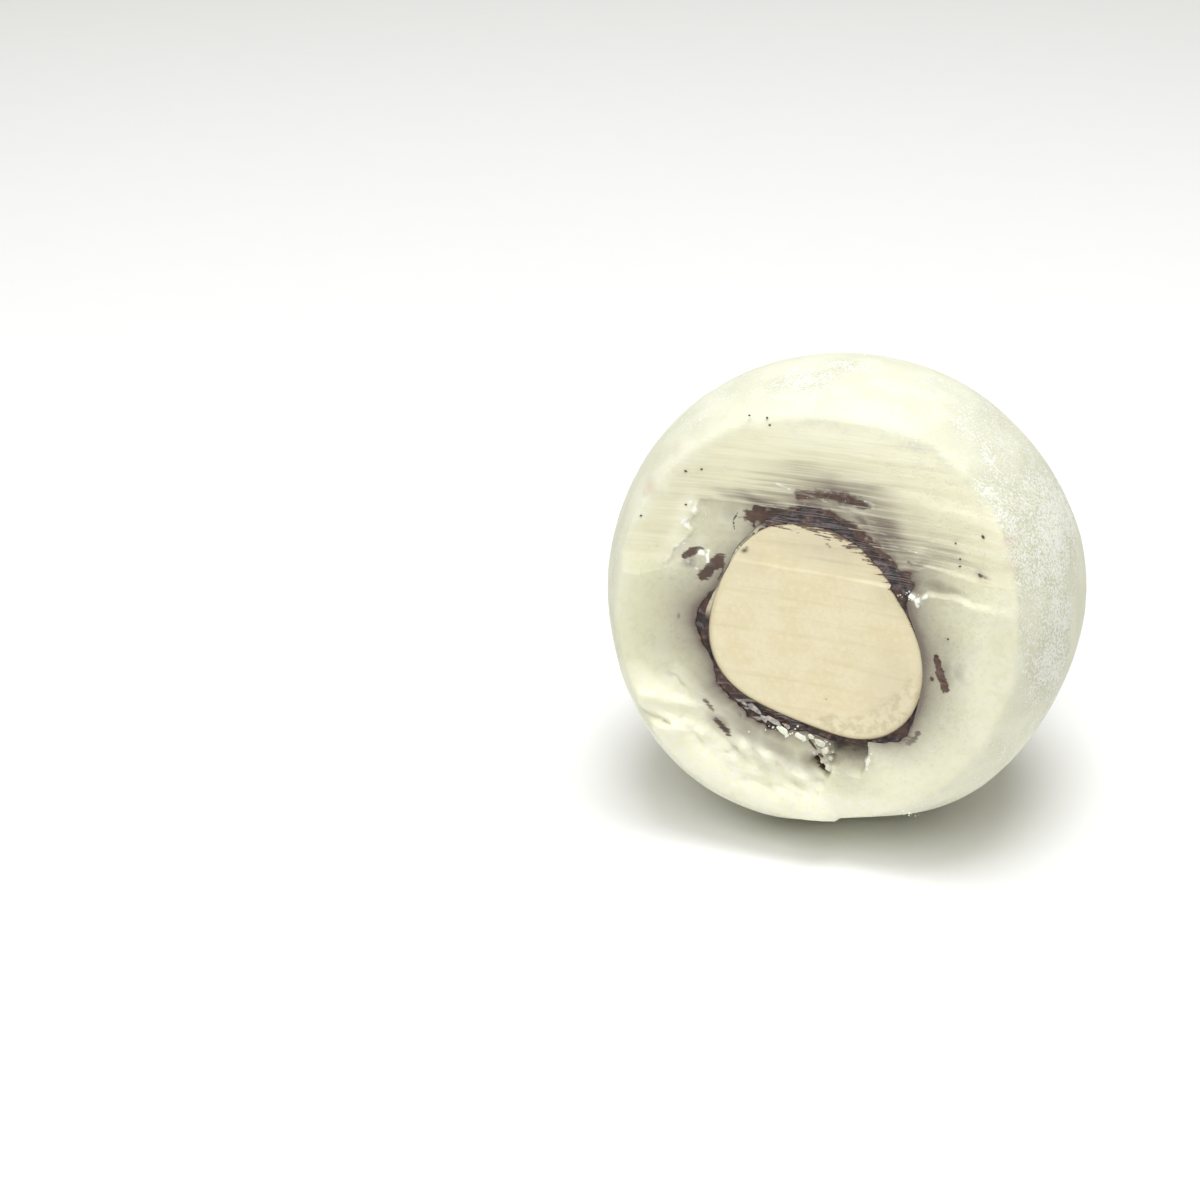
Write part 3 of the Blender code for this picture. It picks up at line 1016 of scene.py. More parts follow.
def make_knife_group():
    """Knife lines: long fine streaks that follow the bowed path of the blade."""
    nodes, given, made = new_group(
        "Knife lines",
        [PLACE, ("Width", SCALAR, 0.00025), ("Length", SCALAR, 0.006)],
        [("Streaks", SCALAR), ("Hairs", SCALAR)],
    )
    right, up, _ = axes()
    across = nodes.add("ShaderNodeVectorMath", {0: given["Place"], 1: tuple(right)}, operation="DOT_PRODUCT")
    along = nodes.add("ShaderNodeVectorMath", {0: given["Place"], 1: tuple(up)}, operation="DOT_PRODUCT")
    bow = nodes.times(across.outputs["Value"], across.outputs["Value"])
    bow = nodes.times(bow, LINE_BOW / MM)
    level = nodes.plus(along.outputs["Value"], bow)
    for output, finer in (("Streaks", 1.0), ("Hairs", 0.4)):
        width = nodes.times(given["Width"], finer)
        x = nodes.math("DIVIDE", across.outputs["Value"], given["Length"])
        y = nodes.math("DIVIDE", level, width)
        vector = nodes.add("ShaderNodeCombineXYZ", {"X": x, "Y": y}).outputs["Vector"]
        streak = nodes.add("ShaderNodeTexNoise", {"Vector": vector, "Scale": 1.0, "Detail": 3.0})
        nodes.join(streak.outputs["Fac"], made[output])


def make_dust_group():
    """White dust: fine grains that gather in patches."""
    nodes, given, made = new_group(
        "White dust",
        [PLACE, ("Amount", SCALAR, 0.5), ("Grain", SCALAR, 0.00022)],
        [("Dust", SCALAR), ("Pits", SCALAR), ("Height", SCALAR)],
    )
    finer = nodes.math("DIVIDE", 1.0, given["Grain"])
    fine = {"Vector": given["Place"], "Scale": finer, "Detail": 2.0, "Roughness": 0.7}
    grain = nodes.add("ShaderNodeTexNoise", fine).outputs["Fac"]
    clumps = nodes.noise(given["Place"], 0.0009, 5.0, 0.75)
    patches = nodes.noise(given["Place"], 0.0040, 2.0)
    gathered = nodes.plus(nodes.times(clumps, 0.55), nodes.times(patches, 0.25))
    gathered = nodes.plus(gathered, nodes.times(given["Amount"], 0.26))
    summed = nodes.plus(gathered, nodes.times(grain, 1.1))
    dust = nodes.rise(summed, 1.13, 1.21)
    nodes.join(dust, made["Dust"])
    pits = nodes.times(nodes.rise(summed, 1.12, 1.00), nodes.rise(given["Amount"], 0.30, 0.70))
    nodes.join(pits, made["Pits"])
    nodes.join(nodes.times(dust, grain), made["Height"])


def make_skin_group():
    """Skin tones: near black, brown and red in turn, with pale film here and there."""
    colours = bpy.context.scene.nut_colours
    nodes, given, made = new_group(
        "Skin tones",
        [PLACE, ("Film", SCALAR, 0.3)],
        [("Colour", "NodeSocketColor"), ("Height", SCALAR)],
    )
    broad = nodes.noise(given["Place"], 0.0011, 3.0, 0.6)
    fine = nodes.noise(given["Place"], 0.00030, 3.0, 0.6)
    red = nodes.noise(given["Place"], 0.0007, 3.0, 0.65)
    tone = nodes.mix(nodes.rise(broad, 0.40, 0.60), (0.030, 0.024, 0.028), colours.skin)
    tone = nodes.tinted(nodes.rise(red, 0.42, 0.72), 0.8, tone, colours.skin_red)
    film = nodes.times(nodes.rise(fine, 0.48, 0.70), given["Film"])
    tone = nodes.mix(film, tone, (0.30, 0.26, 0.25))
    nodes.join(tone, made["Colour"])
    nodes.join(fine, made["Height"])


def make_grain_group():
    """Fine grain: small light and dark variation with its height."""
    nodes, given, made = new_group(
        "Fine grain",
        [PLACE, ("Size", SCALAR, 0.0004)],
        [("Grain", SCALAR), ("Cloud", SCALAR)],
    )
    fine = nodes.math("DIVIDE", 1.0, given["Size"])
    broad = nodes.math("DIVIDE", 0.18, given["Size"])
    for output, scale in (("Grain", fine), ("Cloud", broad)):
        inputs = {"Vector": given["Place"], "Scale": scale, "Detail": 4.0}
        nodes.join(nodes.add("ShaderNodeTexNoise", inputs).outputs["Fac"], made[output])


def start_material(name):
    """A material's nodes and its empty Principled shader."""
    material = bpy.data.materials.new(name)
    material.use_nodes = True
    nodes = Nodes(material.node_tree)
    return material, nodes, material.node_tree.nodes["Principled BSDF"]


def plug(nodes, shader, colour, roughness, normal):
    """Feed a shader its colour, roughness and normal."""
    nodes.join(colour, shader.inputs["Base Color"])
    nodes.join(roughness, shader.inputs["Roughness"])
    nodes.join(normal, shader.inputs["Normal"])


def coat_material():
    """White chocolate: matte and dusted outside, creamy, striped, shaded and torn on the cut, with painted
    shade and painted highlights.
    """
    colours = bpy.context.scene.nut_colours
    material, nodes, shader = start_material("white chocolate")
    place = nodes.place()
    grain = nodes.group("Fine grain", Place=place, Size=0.00035)
    lines = nodes.group("Knife lines", Place=place, Width=0.00028, Length=0.005)
    dust = nodes.group("White dust", Place=place, Amount=nodes.mark("bloom"), Grain=0.00013)
    cut, upper, torn, rim = (nodes.mark(name) for name in ("cut", "upper", "torn", "rim"))
    shade, smear, white, pink = (nodes.mark(name) for name in ("shade", "smear", "white", "pink"))

    outside = nodes.mix(nodes.rise(grain["Cloud"], 0.35, 0.65), colours.outside, (0.84, 0.84, 0.68))
    outside = nodes.tinted(dust["Pits"], 0.68, outside, (0.56, 0.55, 0.43))
    outside = nodes.mix(dust["Dust"], outside, colours.bloom)

    light_lines = nodes.rise(lines["Streaks"], 0.50, 0.66)
    streaked = nodes.tinted(light_lines, 0.45, colours.upper_cut, (0.94, 0.92, 0.74))
    dark_lines = nodes.rise(lines["Streaks"], 0.46, 0.34)
    streaked = nodes.tinted(dark_lines, 0.35, streaked, (0.83, 0.78, 0.54))
    plain = nodes.mix(nodes.rise(grain["Cloud"], 0.40, 0.62), colours.cut, (0.88, 0.87, 0.69))
    plain = nodes.tinted(nodes.rise(grain["Grain"], 0.54, 0.38), 0.5, plain, (0.77, 0.76, 0.54))
    cream = nodes.mix(upper, plain, streaked)
    broken = nodes.mix(nodes.rise(grain["Grain"], 0.40, 0.62), colours.torn, (0.96, 0.95, 0.80))
    cream = nodes.mix(torn, cream, broken)
    # Olive tan patches, partly painted shade at the cut's left edge and in the fold
    cream = nodes.tinted(nodes.mark("tan_and_shade"), 0.8, cream, (0.76, 0.76, 0.50))

    # Grey shade, from skin seen through the coat and painted shade, streaked on the upper cut
    streak_shade = nodes.plus(nodes.swing(lines["Streaks"], -0.65), nodes.swing(lines["Hairs"], -0.85))
    wavering = nodes.times(nodes.times(streak_shade, upper), nodes.rise(shade, 0.04, 0.4))
    mottled = nodes.swing(grain["Cloud"], nodes.times(shade, 0.4))
    depth = nodes.plus(nodes.plus(shade, wavering), mottled)
    depth = nodes.math("MAXIMUM", nodes.math("MINIMUM", depth, 0.96), 0.0)
    cream = nodes.mix(depth, cream, colours.shade)

    # Brown skin drawn out in fibres, with white fibres across it
    hairs = nodes.plus(nodes.swing(lines["Hairs"], 2.6), nodes.swing(grain["Grain"], 1.4))
    brown = nodes.plus(smear, nodes.times(hairs, 0.45))
    brown = nodes.times(nodes.rise(brown, 0.38, 0.82), nodes.rise(smear, 0.04, 0.3))
    skin = nodes.mix(0.35, nodes.group("Skin tones", Place=place, Film=0.2)["Colour"], colours.skin_red)
    cream = nodes.tinted(brown, 0.94, cream, skin)
    fibre = nodes.times(nodes.rise(lines["Hairs"], 0.57, 0.70), nodes.rise(shade, 0.2, 0.6))
    cream = nodes.tinted(nodes.times(fibre, upper), 0.45, cream, (0.80, 0.76, 0.68))
    # The white mark: painted highlights on ledge edges, with white fibres and crumbly white edges
    crisp = nodes.plus(white, nodes.swing(grain["Grain"], 1.3))
    crisp = nodes.times(nodes.rise(crisp, 0.45, 0.62), nodes.rise(white, 0.05, 0.3))
    whitened = nodes.math("MAXIMUM", nodes.times(white, 0.55), nodes.times(crisp, 0.95))
    # Painted light and painted highlights from the soft spots, with a few white smears
    cream = nodes.mix(nodes.mark("soft"), cream, (0.96, 0.95, 0.77))
    cream = nodes.mix(whitened, cream, (0.96, 0.95, 0.86))

    cream = nodes.tinted(rim, 0.28, cream, outside)
    wavy = nodes.swing(nodes.noise(place, 0.0007, 4.0, 0.7), 1.5)
    cut_edge = nodes.rise(nodes.plus(cut, wavy), 0.25, 0.75)
    colour = nodes.mix(cut_edge, outside, cream)
    colour = nodes.tinted(pink, 0.6, colour, (0.62, 0.44, 0.36))
    rough = nodes.between(grain["Grain"], 0.48, 0.66)
    normal = nodes.bump(dust["Height"], 0.00003, 0.8)
    normal = nodes.bump(nodes.times(lines["Hairs"], upper), 0.00003, 0.8, normal)
    normal = nodes.bump(grain["Grain"], 0.000012, 0.6, normal)
    plug(nodes, shader, colour, rough, normal)
    shader.inputs["Subsurface Weight"].default_value = 0.35
    shader.inputs["Subsurface Radius"].default_value = (1.0, 0.92, 0.62)
    shader.inputs["Subsurface Scale"].default_value = 0.00035
    shader.inputs["IOR"].default_value = 1.45
    shader.inputs["Specular IOR Level"].default_value = 0.35
    return material


def kernel_material():
    """Raw hazelnut: cream, with faint knife lines, a mottled broken edge and skin at its top edge."""
    colours = bpy.context.scene.nut_colours
    material, nodes, shader = start_material("hazelnut kernel")
    place = nodes.place()
    grain = nodes.group("Fine grain", Place=place, Size=0.0003)
    lines = nodes.group("Knife lines", Place=place, Width=0.00035, Length=0.006)
    base = nodes.mix(nodes.rise(grain["Cloud"], 0.36, 0.64), colours.kernel, (0.82, 0.72, 0.475))
    base = nodes.tinted(nodes.rise(grain["Grain"], 0.42, 0.68), 0.55, base, (0.90, 0.82, 0.585))
    streak = nodes.times(nodes.rise(lines["Streaks"], 0.45, 0.65), nodes.mark("lines"))
    base = nodes.tinted(streak, 0.5, base, (0.86, 0.78, 0.56))
    dark_streak = nodes.times(nodes.rise(lines["Streaks"], 0.48, 0.32), nodes.mark("lines"))
    base = nodes.tinted(dark_streak, 0.5, base, (0.70, 0.60, 0.38))
    crumbly = nodes.rise(nodes.noise(place, 0.0005, 4.0, 0.65), 0.42, 0.58)
    mottled = nodes.mix(crumbly, (0.72, 0.63, 0.42), colours.kernel_pale)
    base = nodes.mix(nodes.mark("broken"), base, mottled)
    base = nodes.tinted(nodes.mark("rim"), 0.55, base, (0.56, 0.46, 0.27))
    base = nodes.tinted(nodes.mark("veil"), 0.8, base, (0.56, 0.50, 0.36))
    dashes = nodes.group("Knife lines", Place=place, Width=0.00028, Length=0.0009)["Hairs"]
    speckle = nodes.noise(place, 0.00016, 3.0, 0.7)
    ragged = nodes.plus(nodes.swing(dashes, 2.4), nodes.swing(speckle, 0.8))
    fringe = nodes.rise(nodes.plus(nodes.mark("edge"), nodes.times(ragged, 0.9)), 0.62, 0.80)
    base = nodes.tinted(nodes.rise(speckle, 0.48, 0.66), 0.45, base, (0.78, 0.69, 0.46))
    fringe = nodes.times(fringe, nodes.rise(nodes.mark("edge"), 0.02, 0.2))
    skin = nodes.group("Skin tones", Place=place, Film=0.2)["Colour"]
    skin = nodes.mix(0.35, skin, (0.20, 0.105, 0.06))
    base = nodes.tinted(fringe, 0.9, base, skin)
    colour = nodes.mix(nodes.mark("smear"), base, colours.skin_red)
    rough = nodes.between(grain["Grain"], 0.5, 0.7)
    normal = nodes.bump(lines["Hairs"], 0.00002, 0.35)
    normal = nodes.bump(grain["Grain"], 0.000015, 0.5, normal)
    plug(nodes, shader, colour, rough, normal)
    shader.inputs["Subsurface Weight"].default_value = 0.2
    shader.inputs["Subsurface Radius"].default_value = (1.0, 0.8, 0.5)
    shader.inputs["Subsurface Scale"].default_value = 0.0004
    shader.inputs["Specular IOR Level"].default_value = 0.35
    return material


def skin_material():
    """Papery brown skin with redder, blacker and greyed flecks."""
    material, nodes, shader = start_material("hazelnut skin")
    place = nodes.place()
    grain = nodes.group("Fine grain", Place=place, Size=0.00028)
    lines = nodes.group("Knife lines", Place=place, Width=0.00016, Length=0.0018)
    skin = nodes.group("Skin tones", Place=place, Film=0.35)
    chalky = nodes.times(nodes.rise(lines["Streaks"], 0.52, 0.62), nodes.mark("chalk"))
    veils = nodes.times(nodes.rise(lines["Hairs"], 0.46, 0.60), nodes.mark("upper"))
    colour = nodes.tinted(veils, 0.62, skin["Colour"], (0.27, 0.235, 0.24))
    colour = nodes.mix(chalky, colour, (0.46, 0.41, 0.38))
    colour = nodes.tinted(nodes.mark("red"), 0.5, colour, (0.16, 0.085, 0.055))
    colour = nodes.mix(nodes.rise(nodes.mark("pale"), 0.28, 0.70), colour, (0.64, 0.58, 0.42))
    rough = nodes.between(grain["Grain"], 0.45, 0.8)
    normal = nodes.bump(skin["Height"], 0.00006, 0.9)
    plug(nodes, shader, colour, rough, normal)
    shader.inputs["Specular IOR Level"].default_value = 0.4
    return material


def crumb_material():
    """Loose white chocolate crumbs, some greyed by skin."""
    colours = bpy.context.scene.nut_colours
    material, nodes, shader = start_material("white crumbs")
    place = nodes.place()
    grain = nodes.group("Fine grain", Place=place, Size=0.00015)
    dust = nodes.group("White dust", Place=place, Amount=0.6, Grain=0.00012)
    pale = nodes.mix(dust["Dust"], colours.torn, (0.95, 0.94, 0.87))
    grey = nodes.mix(nodes.rise(grain["Grain"], 0.4, 0.6), (0.20, 0.175, 0.18), (0.42, 0.38, 0.37))
    colour = nodes.mix(nodes.mark("white"), grey, pale)
    rough = nodes.between(grain["Grain"], 0.4, 0.7)
    plug(nodes, shader, colour, rough, nodes.bump(grain["Grain"], 0.00003, 0.8))
    shader.inputs["Subsurface Weight"].default_value = 0.2
    shader.inputs["Subsurface Scale"].default_value = 0.0003
    return material


def skin_and_painted_shade(right, up, angle, gap):
    """How much the dark skin shows through the coat, plus painted shade next to the skin's ring, in some
    clouds and between the torn lip's lumps.
    """
    degrees = np.degrees(angle) % 360.0
    start = np.interp(degrees, SHADE_ANGLE, SHADE_START)
    reach = np.interp(degrees, SHADE_ANGLE, SHADE_REACH)
    wander = 1.0 + 0.18 * flat_noise(right, up, 1.3, 1.0, 55)
    gap = np.maximum(gap, 0.0)
    shade = start * np.exp(-((gap / (reach * wander)) ** 1.3)) + 0.30 * start * np.exp(-((gap / 0.35) ** 1.5))
    shade = shade * (1.0 - 0.45 * torn_share(right, up))
    shade = np.maximum(shade, 0.27 * patch_share(right, up))
    shade = np.maximum(shade, 0.46 * strip_share(right, up) * smooth(9.0, 4.5, right))
    wander = 0.25 * flat_noise(right, up, 0.8, 0.6, 56)
    # Grey clouds: skin seen through the coat, and painted shade by the fold, the crack's sides and above the
    # ledges
    shade = np.maximum(shade, spot_sum(right + wander, up + 0.6 * wander, SKIN_AND_PAINTED_SHADE_CLOUDS))
    # Painted shade in the valleys between the torn lip's lumps
    painted_valley_shade = torn_share(right, up) * smooth(0.45, 0.1, torn_lumps(right, up))
    painted_valley_shade = painted_valley_shade * smooth(9.4, 8.2, np.hypot(right, up))
    return np.clip(np.maximum(shade, 0.36 * painted_valley_shade), 0.0, 1.0)


# Patches of dust on the outside: direction, width in degrees and amount
DUST_SPOTS = (
    ((-0.27, -0.19, 0.94), 7, 0.55),
    ((-0.04, 0.02, 1.00), 5, 0.50),
    ((0.05, -0.21, 0.97), 3.5, 0.50),
    ((-0.13, -0.17, 0.98), 4, 0.40),
    ((0.965, -0.26, 0.0), 10, 0.60),
    ((0.91, -0.22, -0.34), 5, 0.60),
)


def bloom_outside(direction):
    """Where the white dust gathers on the outside, from 0 to 1."""
    gathered = 0.22 + 0.28 * noise(direction * 2.6, 81) + 0.20 * noise(direction * 7.0, 82)
    right_side = smooth(0.08, 0.50, direction[:, 0]) * smooth(0.0, 0.40, direction[:, 2])
    bare = smooth(0.45, 0.20, direction[:, 2]) * smooth(-0.15, 0.1, direction[:, 1])
    gathered = gathered + 0.40 * right_side * (1.0 - bare)
    for axis, degrees, amount in DUST_SPOTS:
        gathered = gathered + amount * cone_bell(direction, np.array(axis), degrees)
    return np.clip(gathered, 0.0, 1.1)


def to_cut(points):
    """Places on the cut, in mm, of points in the row frame."""
    ax, ay, az = axes()
    local = points - ball_centre() - setting("cut_depth") * az
    return local @ ax, local @ ay, local @ az


def outer_ring(rim_direction, share):
    """A ring of points on the ball, from the rim's directions towards the back."""
    back = -axes()[2]
    whole = np.arccos(np.clip(rim_direction @ back, -1.0, 1.0))
    turn = share * whole
    mixed = rim_direction * np.sin(whole - turn)[:, None] + back * np.sin(turn)[:, None]
    direction = mixed / np.linalg.norm(mixed, axis=-1, keepdims=True)
    radius = ball_radius(direction)
    fade = smooth(0.0, 0.06, np.asarray(share, float))
    for length, height in OUTER_WAVES:
        radius = radius + fade * height * noise(direction * 12.0 / length, int(length * 10))
    place = ball_centre() + direction * radius[:, None]
    place[:, 2] = np.maximum(place[:, 2], 0.0)
    return place, direction


class NUT_OT_coat(bpy.types.Operator):
    """Make the white chocolate coat."""

    bl_idname = "nut.coat"
    bl_label = "Coat"

    def execute(self, context):
        """Build its rings from the back, over the rim and the cut, into the nut's pocket."""
        angle = turns(COLUMNS)
        hole_right, hole_up = edge_on_cut(angle, skin_width(angle), cut_height)
        hole = np.hypot(hole_right - KERNEL_RIGHT, hole_up - KERNEL_UP)
        hole_angle = np.arctan2(hole_up - KERNEL_UP, hole_right - KERNEL_RIGHT)
        rim = rim_radius(hole_angle)
        rim = rim + 0.05 * ring_noise(hole_angle, RIM_NOISE_RADIUS, 0.6, 7)
        before, after, beyond = (
            smooth(math.radians(start), math.radians(end), hole_angle) for start, end in LAP_DEGREES
        )
        rim = rim + LAP_STEP * before * (1.0 - after) + LAP_REST * after * beyond
        right, up = from_middle(hole_angle, rim)
        rim_direction = from_cut(right, up, cut_height(right, up)) - ball_centre()
        rim_direction /= np.linalg.norm(rim_direction, axis=-1, keepdims=True)

        rings = []
        for share in 1.0 - np.linspace(0.0, 1.0, BALL_RINGS + 2)[1:-1] ** 1.05 * 0.93:
            place, direction = outer_ring(rim_direction[::COARSE], share)
            rings.append((place, {"cut": 0.0, "bloom": bloom_outside(direction)}))
        for share in np.linspace(0.062, 0.0035, NEAR_RIM_RINGS):
            place, direction = outer_ring(rim_direction, share)
            rings.append((place, {"cut": 0.0, "bloom": bloom_outside(direction)}))
        outer_count = len(rings)
        share = 1.0 - np.linspace(0.0, 1.0, FACE_RINGS)[:, None]
        radius = hole + (rim - hole) * share
        right, up = from_middle(hole_angle, radius)
        place = from_cut(right, up, cut_height(right, up))
        # Painted shade in the hollow under the kernel, added to the shade mark
        hollow = 0.95 * hollow_share(right, up)
        crack = crack_share(right, up)
        fringe = 0.62 * bell(radius - hole, 0.16) * smooth(0.1, 0.35, skin_width(angle))
        plain = np.maximum(0.85 * patch_share(right, up), 0.9 * strip_share(right, up))
        marks = {
            "upper": upper_share(right, up) * (1.0 - plain),
            "tan_and_shade": spot_sum(right, up, TAN_AND_SHADE_SPOTS),
            # Painted light: the pale torn colour also runs along the bottom edge of the cut, lightening it
            "torn": np.maximum(torn_share(right, up), smooth(-7.8, -8.8, up) * smooth(6.5, 4.0, right)),
            "shade": np.maximum(skin_and_painted_shade(right, up, hole_angle, radius - hole), hollow),
            # Painted shade: the narrow crack is coloured dark with the skin's colour
            "smear": np.maximum(band_sum(right, up, SMEARS, 0.45, 73) + fringe, 1.1 * crack),
            "white": np.clip(white_edges(right, up) * (1.0 - crack), 0.0, 1.0),
            # Painted light and highlights, with a few white smears
            "soft": spot_sum(right, up + 0.15 * flat_noise(right, up, 0.6, 0.4, 58), PAINTED_LIGHT_AND_WHITE_SPOTS),
            "rim": smooth(1.3, 0.1, rim - radius + 0.35 * flat_noise(right, up, 0.8, 0.6, 57)),
        }
        for row in range(FACE_RINGS):
            row_marks = {key: value[row] for key, value in marks.items()}
            rings.append((place[row], {"cut": 1.0, "bloom": bloom_outside(rim_direction) * 0.8, **row_marks}))
        soften_rim(rings, outer_count)
        depth_at_edge = np.clip(-to_cut(rings[-1][0])[2], -0.3, 1.6)
        for step in np.linspace(0.03, 0.985, POCKET_RINGS):
            depth = depth_at_edge + (2.0 * KERNEL_HALF_DEPTH - 0.3 - depth_at_edge) * step
            right, up = nut_point(angle, skin_width(angle), np.minimum(depth, 9.25))
            place = from_cut(right, up, -depth)
            if step > 0.12:
                place = place[::COARSE]
            rings.append((place, {"cut": 1.0, "shade": 0.6}))

        body = RingMesh()
        back = -axes()[2]
        pole = ball_centre() + back * float(ball_radius(back))
        body.add(pole[None, :], cut=0.0, bloom=0.3)
        for place, marks in rings:
            spots = to_cut(place)
            pink = spot_sum(spots[0], spots[1], PINK_SPOTS) * (spots[2] > -3.0)
            body.add(place, pink=pink, **marks)
        body.add(rings[-1][0].mean(axis=0)[None, :], cut=1.0)
        add_piece("coat", body.mesh("coat"), coat_material(), "white_chocolate_coat")
        return {"FINISHED"}


def soften_rim(rings, rim_index):
    """Round off the rim between the outside and the cut, and blend the masks across it."""
    first = rim_index - RIM_REACH
    last = rim_index + RIM_REACH
    for _ in range(RIM_PASSES):
        old = {index: rings[index][0].copy() for index in range(first - 1, last + 2)}
        for index in range(first, last + 1):
            rings[index][0][:] = 0.25 * old[index - 1] + 0.5 * old[index] + 0.25 * old[index + 1]
    right, up, _ = to_cut(rings[rim_index][0])
    top = smooth(math.radians(20), math.radians(60), np.arctan2(up, right))
    for step in range(-2, 4):
        rings[rim_index + step][1]["rim"] = 1.0
    half = 11.0 + 14.0 * top
    for step in range(-13, 28):
        rings[rim_index + step][1]["cut"] = smooth(-half, half, step - 6.0 * top)


class NUT_OT_skin(bpy.types.Operator):
    """Make the nut's brown skin."""

    bl_idname = "nut.skin"
    bl_label = "Skin"

    def execute(self, context):
        """Build its rings from the pole inside, up to the cut, across it, and back down outside."""
        angle = turns(COLUMNS)
        width = skin_width(angle)
        inner = edge_on_cut(angle, np.zeros_like(angle) + PIECE_GAP, kernel_height)
        outer = edge_on_cut(angle, width - PIECE_GAP, skin_height)
        body = RingMesh()
        flush = flush_share(angle)
        deepest = 2.0 * KERNEL_HALF_DEPTH - 3.2
        wall = np.linspace(1.0, 0.05, WALL_RINGS)
        pole = from_cut(np.array([KERNEL_RIGHT]), np.array([KERNEL_UP]), np.array([-deepest - 0.1]))
        body.add(pole, chalk=0.0)
        for step in wall:
            right, up = nut_point(angle, PIECE_GAP, deepest * step)
            place = from_cut(right, up, np.full_like(right, -deepest * step))
            body.add(place[::COARSE] if step > 0.1 else place, chalk=0.0)
        chalk = side_bell(angle, -118, 24)
        for share in np.linspace(0.0, 1.0, SKIN_RINGS):
            right = inner[0] + (outer[0] - inner[0]) * share
            up = inner[1] + (outer[1] - inner[1]) * share
            level = kernel_height(right, up) * (1.0 - share) + skin_height(right, up) * share
            sunk = (0.05 + 0.14 * math.sin(share * math.pi) * (0.6 + 0.4 * chalk)) * (1.0 - flush)
            rough = 0.07 * flat_noise(right, up, 0.18, 0.14, 75)
            rough = rough + 0.04 * flat_noise(right, up, 0.07, 0.06, 76)
            place = from_cut(right, up, level - sunk + rough * smooth(0.0, 0.2, share) * (1.0 - flush))
            inner_side = 0.75 * side_bell(angle, 168, 13) * (share < 0.4)
            pale = np.maximum(flush, inner_side)
            body.add(place, chalk=chalk, pale=pale, upper=upper_share(right, up))
        depth_at_edge = -to_cut(place)[2]
        for step in wall[::-1]:
            depth = np.maximum(deepest * step, depth_at_edge + 0.04)
            right, up = nut_point(angle, width - PIECE_GAP, depth)
            place = from_cut(right, up, -depth)
            body.add(place[::COARSE] if step > 0.1 else place, chalk=0.0)
        body.add(pole - 0.25 * axes()[2], chalk=0.0)
        add_piece("skin", body.mesh("skin"), skin_material(), "hazelnut_skin")
        return {"FINISHED"}


class NUT_OT_kernel(bpy.types.Operator):
    """Make the cream kernel."""

    bl_idname = "nut.kernel"
    bl_label = "Kernel"

    def execute(self, context):
        """Build its rings from the middle of the cut outwards and down to the pole behind."""
        angle = turns(KERNEL_COLUMNS)
        edge_right, edge_up = edge_on_cut(angle, np.zeros_like(angle), kernel_height)
        body = RingMesh()
        middle = (np.array([KERNEL_RIGHT]), np.array([KERNEL_UP]))
        body.add(from_cut(*middle, kernel_height(*middle)), lines=0.2)
        for share in np.linspace(0.0, 1.0, KERNEL_RINGS + 1)[1:]:
            right = KERNEL_RIGHT + (edge_right - KERNEL_RIGHT) * share
            up = KERNEL_UP + (edge_up - KERNEL_UP) * share
            drop = 0.09 * smooth(0.955, 1.0, np.float64(share)) ** 2 * (1.0 - flush_share(angle))
            top = side_bell(angle, 80, 48)
            inner = 0.96 - 0.12 * top + 0.03 * flat_noise(right, up, 0.5, 0.4, 65)
            marks = {
                "lines": 0.60 + 0.40 * upper_share(right, up),
                "broken": broken_share(right, up),
                "edge": smooth(inner, 1.02, share) * (0.40 + 0.60 * top) * (1.0 - 0.5 * flush_share(angle)),
                "rim": smooth(0.93, 1.0, np.float64(share)) * (1.0 - flush_share(angle)),
                "veil": spot_sum(right, up, KERNEL_CLOUDS),
                "smear": spot_sum(right, up, KERNEL_FLECKS),
            }
            body.add(from_cut(right, up, kernel_height(right, up) - drop), **marks)
        deepest = 2.0 * KERNEL_HALF_DEPTH - 3.35
        for step in np.linspace(0.04, 0.99, KERNEL_BACK_RINGS):
            depth = deepest * step
            right, up = nut_point(angle, 0.0, depth)
            body.add(from_cut(right, up, np.full_like(right, -depth)), edge=0.5)
        body.add(from_cut(*middle, np.array([-deepest - 0.02])), edge=0.5)
        add_piece("kernel", body.mesh("kernel"), kernel_material(), "hazelnut_kernel")
        return {"FINISHED"}


# Flakes and specks of skin that lie on the cut: right, up, half length, half width, turn in degrees
FLAKES = (
    (0.42, -6.02, 0.30, 0.06, -48),
    (0.86, -6.52, 0.16, 0.08, -20),
    (6.25, -0.80, 0.32, 0.15, -64),
    (6.40, -1.35, 0.30, 0.18, -60),
    (6.66, -1.95, 0.32, 0.19, -75),
    (0.60, 6.52, 0.28, 0.09, -8),
    (0.15, 6.60, 0.16, 0.07, -4),
    (1.30, 6.44, 0.18, 0.07, -12),
    (-7.05, 6.72, 0.09, 0.04, -10),
    (-6.25, 6.93, 0.06, 0.05, 0),
    (-6.91, 5.07, 0.06, 0.04, 0),
    (-9.17, 4.18, 0.06, 0.04, 0),
    (-3.00, 9.57, 0.06, 0.04, 0),
    (-4.07, 9.87, 0.05, 0.04, 0),
    (-3.17, 9.90, 0.05, 0.04, 0),
    (7.73, 5.55, 0.10, 0.06, -50),
    (7.80, 3.72, 0.12, 0.06, -20),
    (6.44, 5.01, 0.05, 0.04, 0),
    (6.74, 4.31, 0.05, 0.04, 0),
    (6.77, 3.96, 0.06, 0.04, 0),
    (6.04, -1.65, 0.10, 0.08, 0),
    (6.64, 0.48, 0.05, 0.04, 0),
)
FLAKE_POINTS = 22
FLAKE_PROUD = 0.035
FLAKE_THICKNESS = 0.1


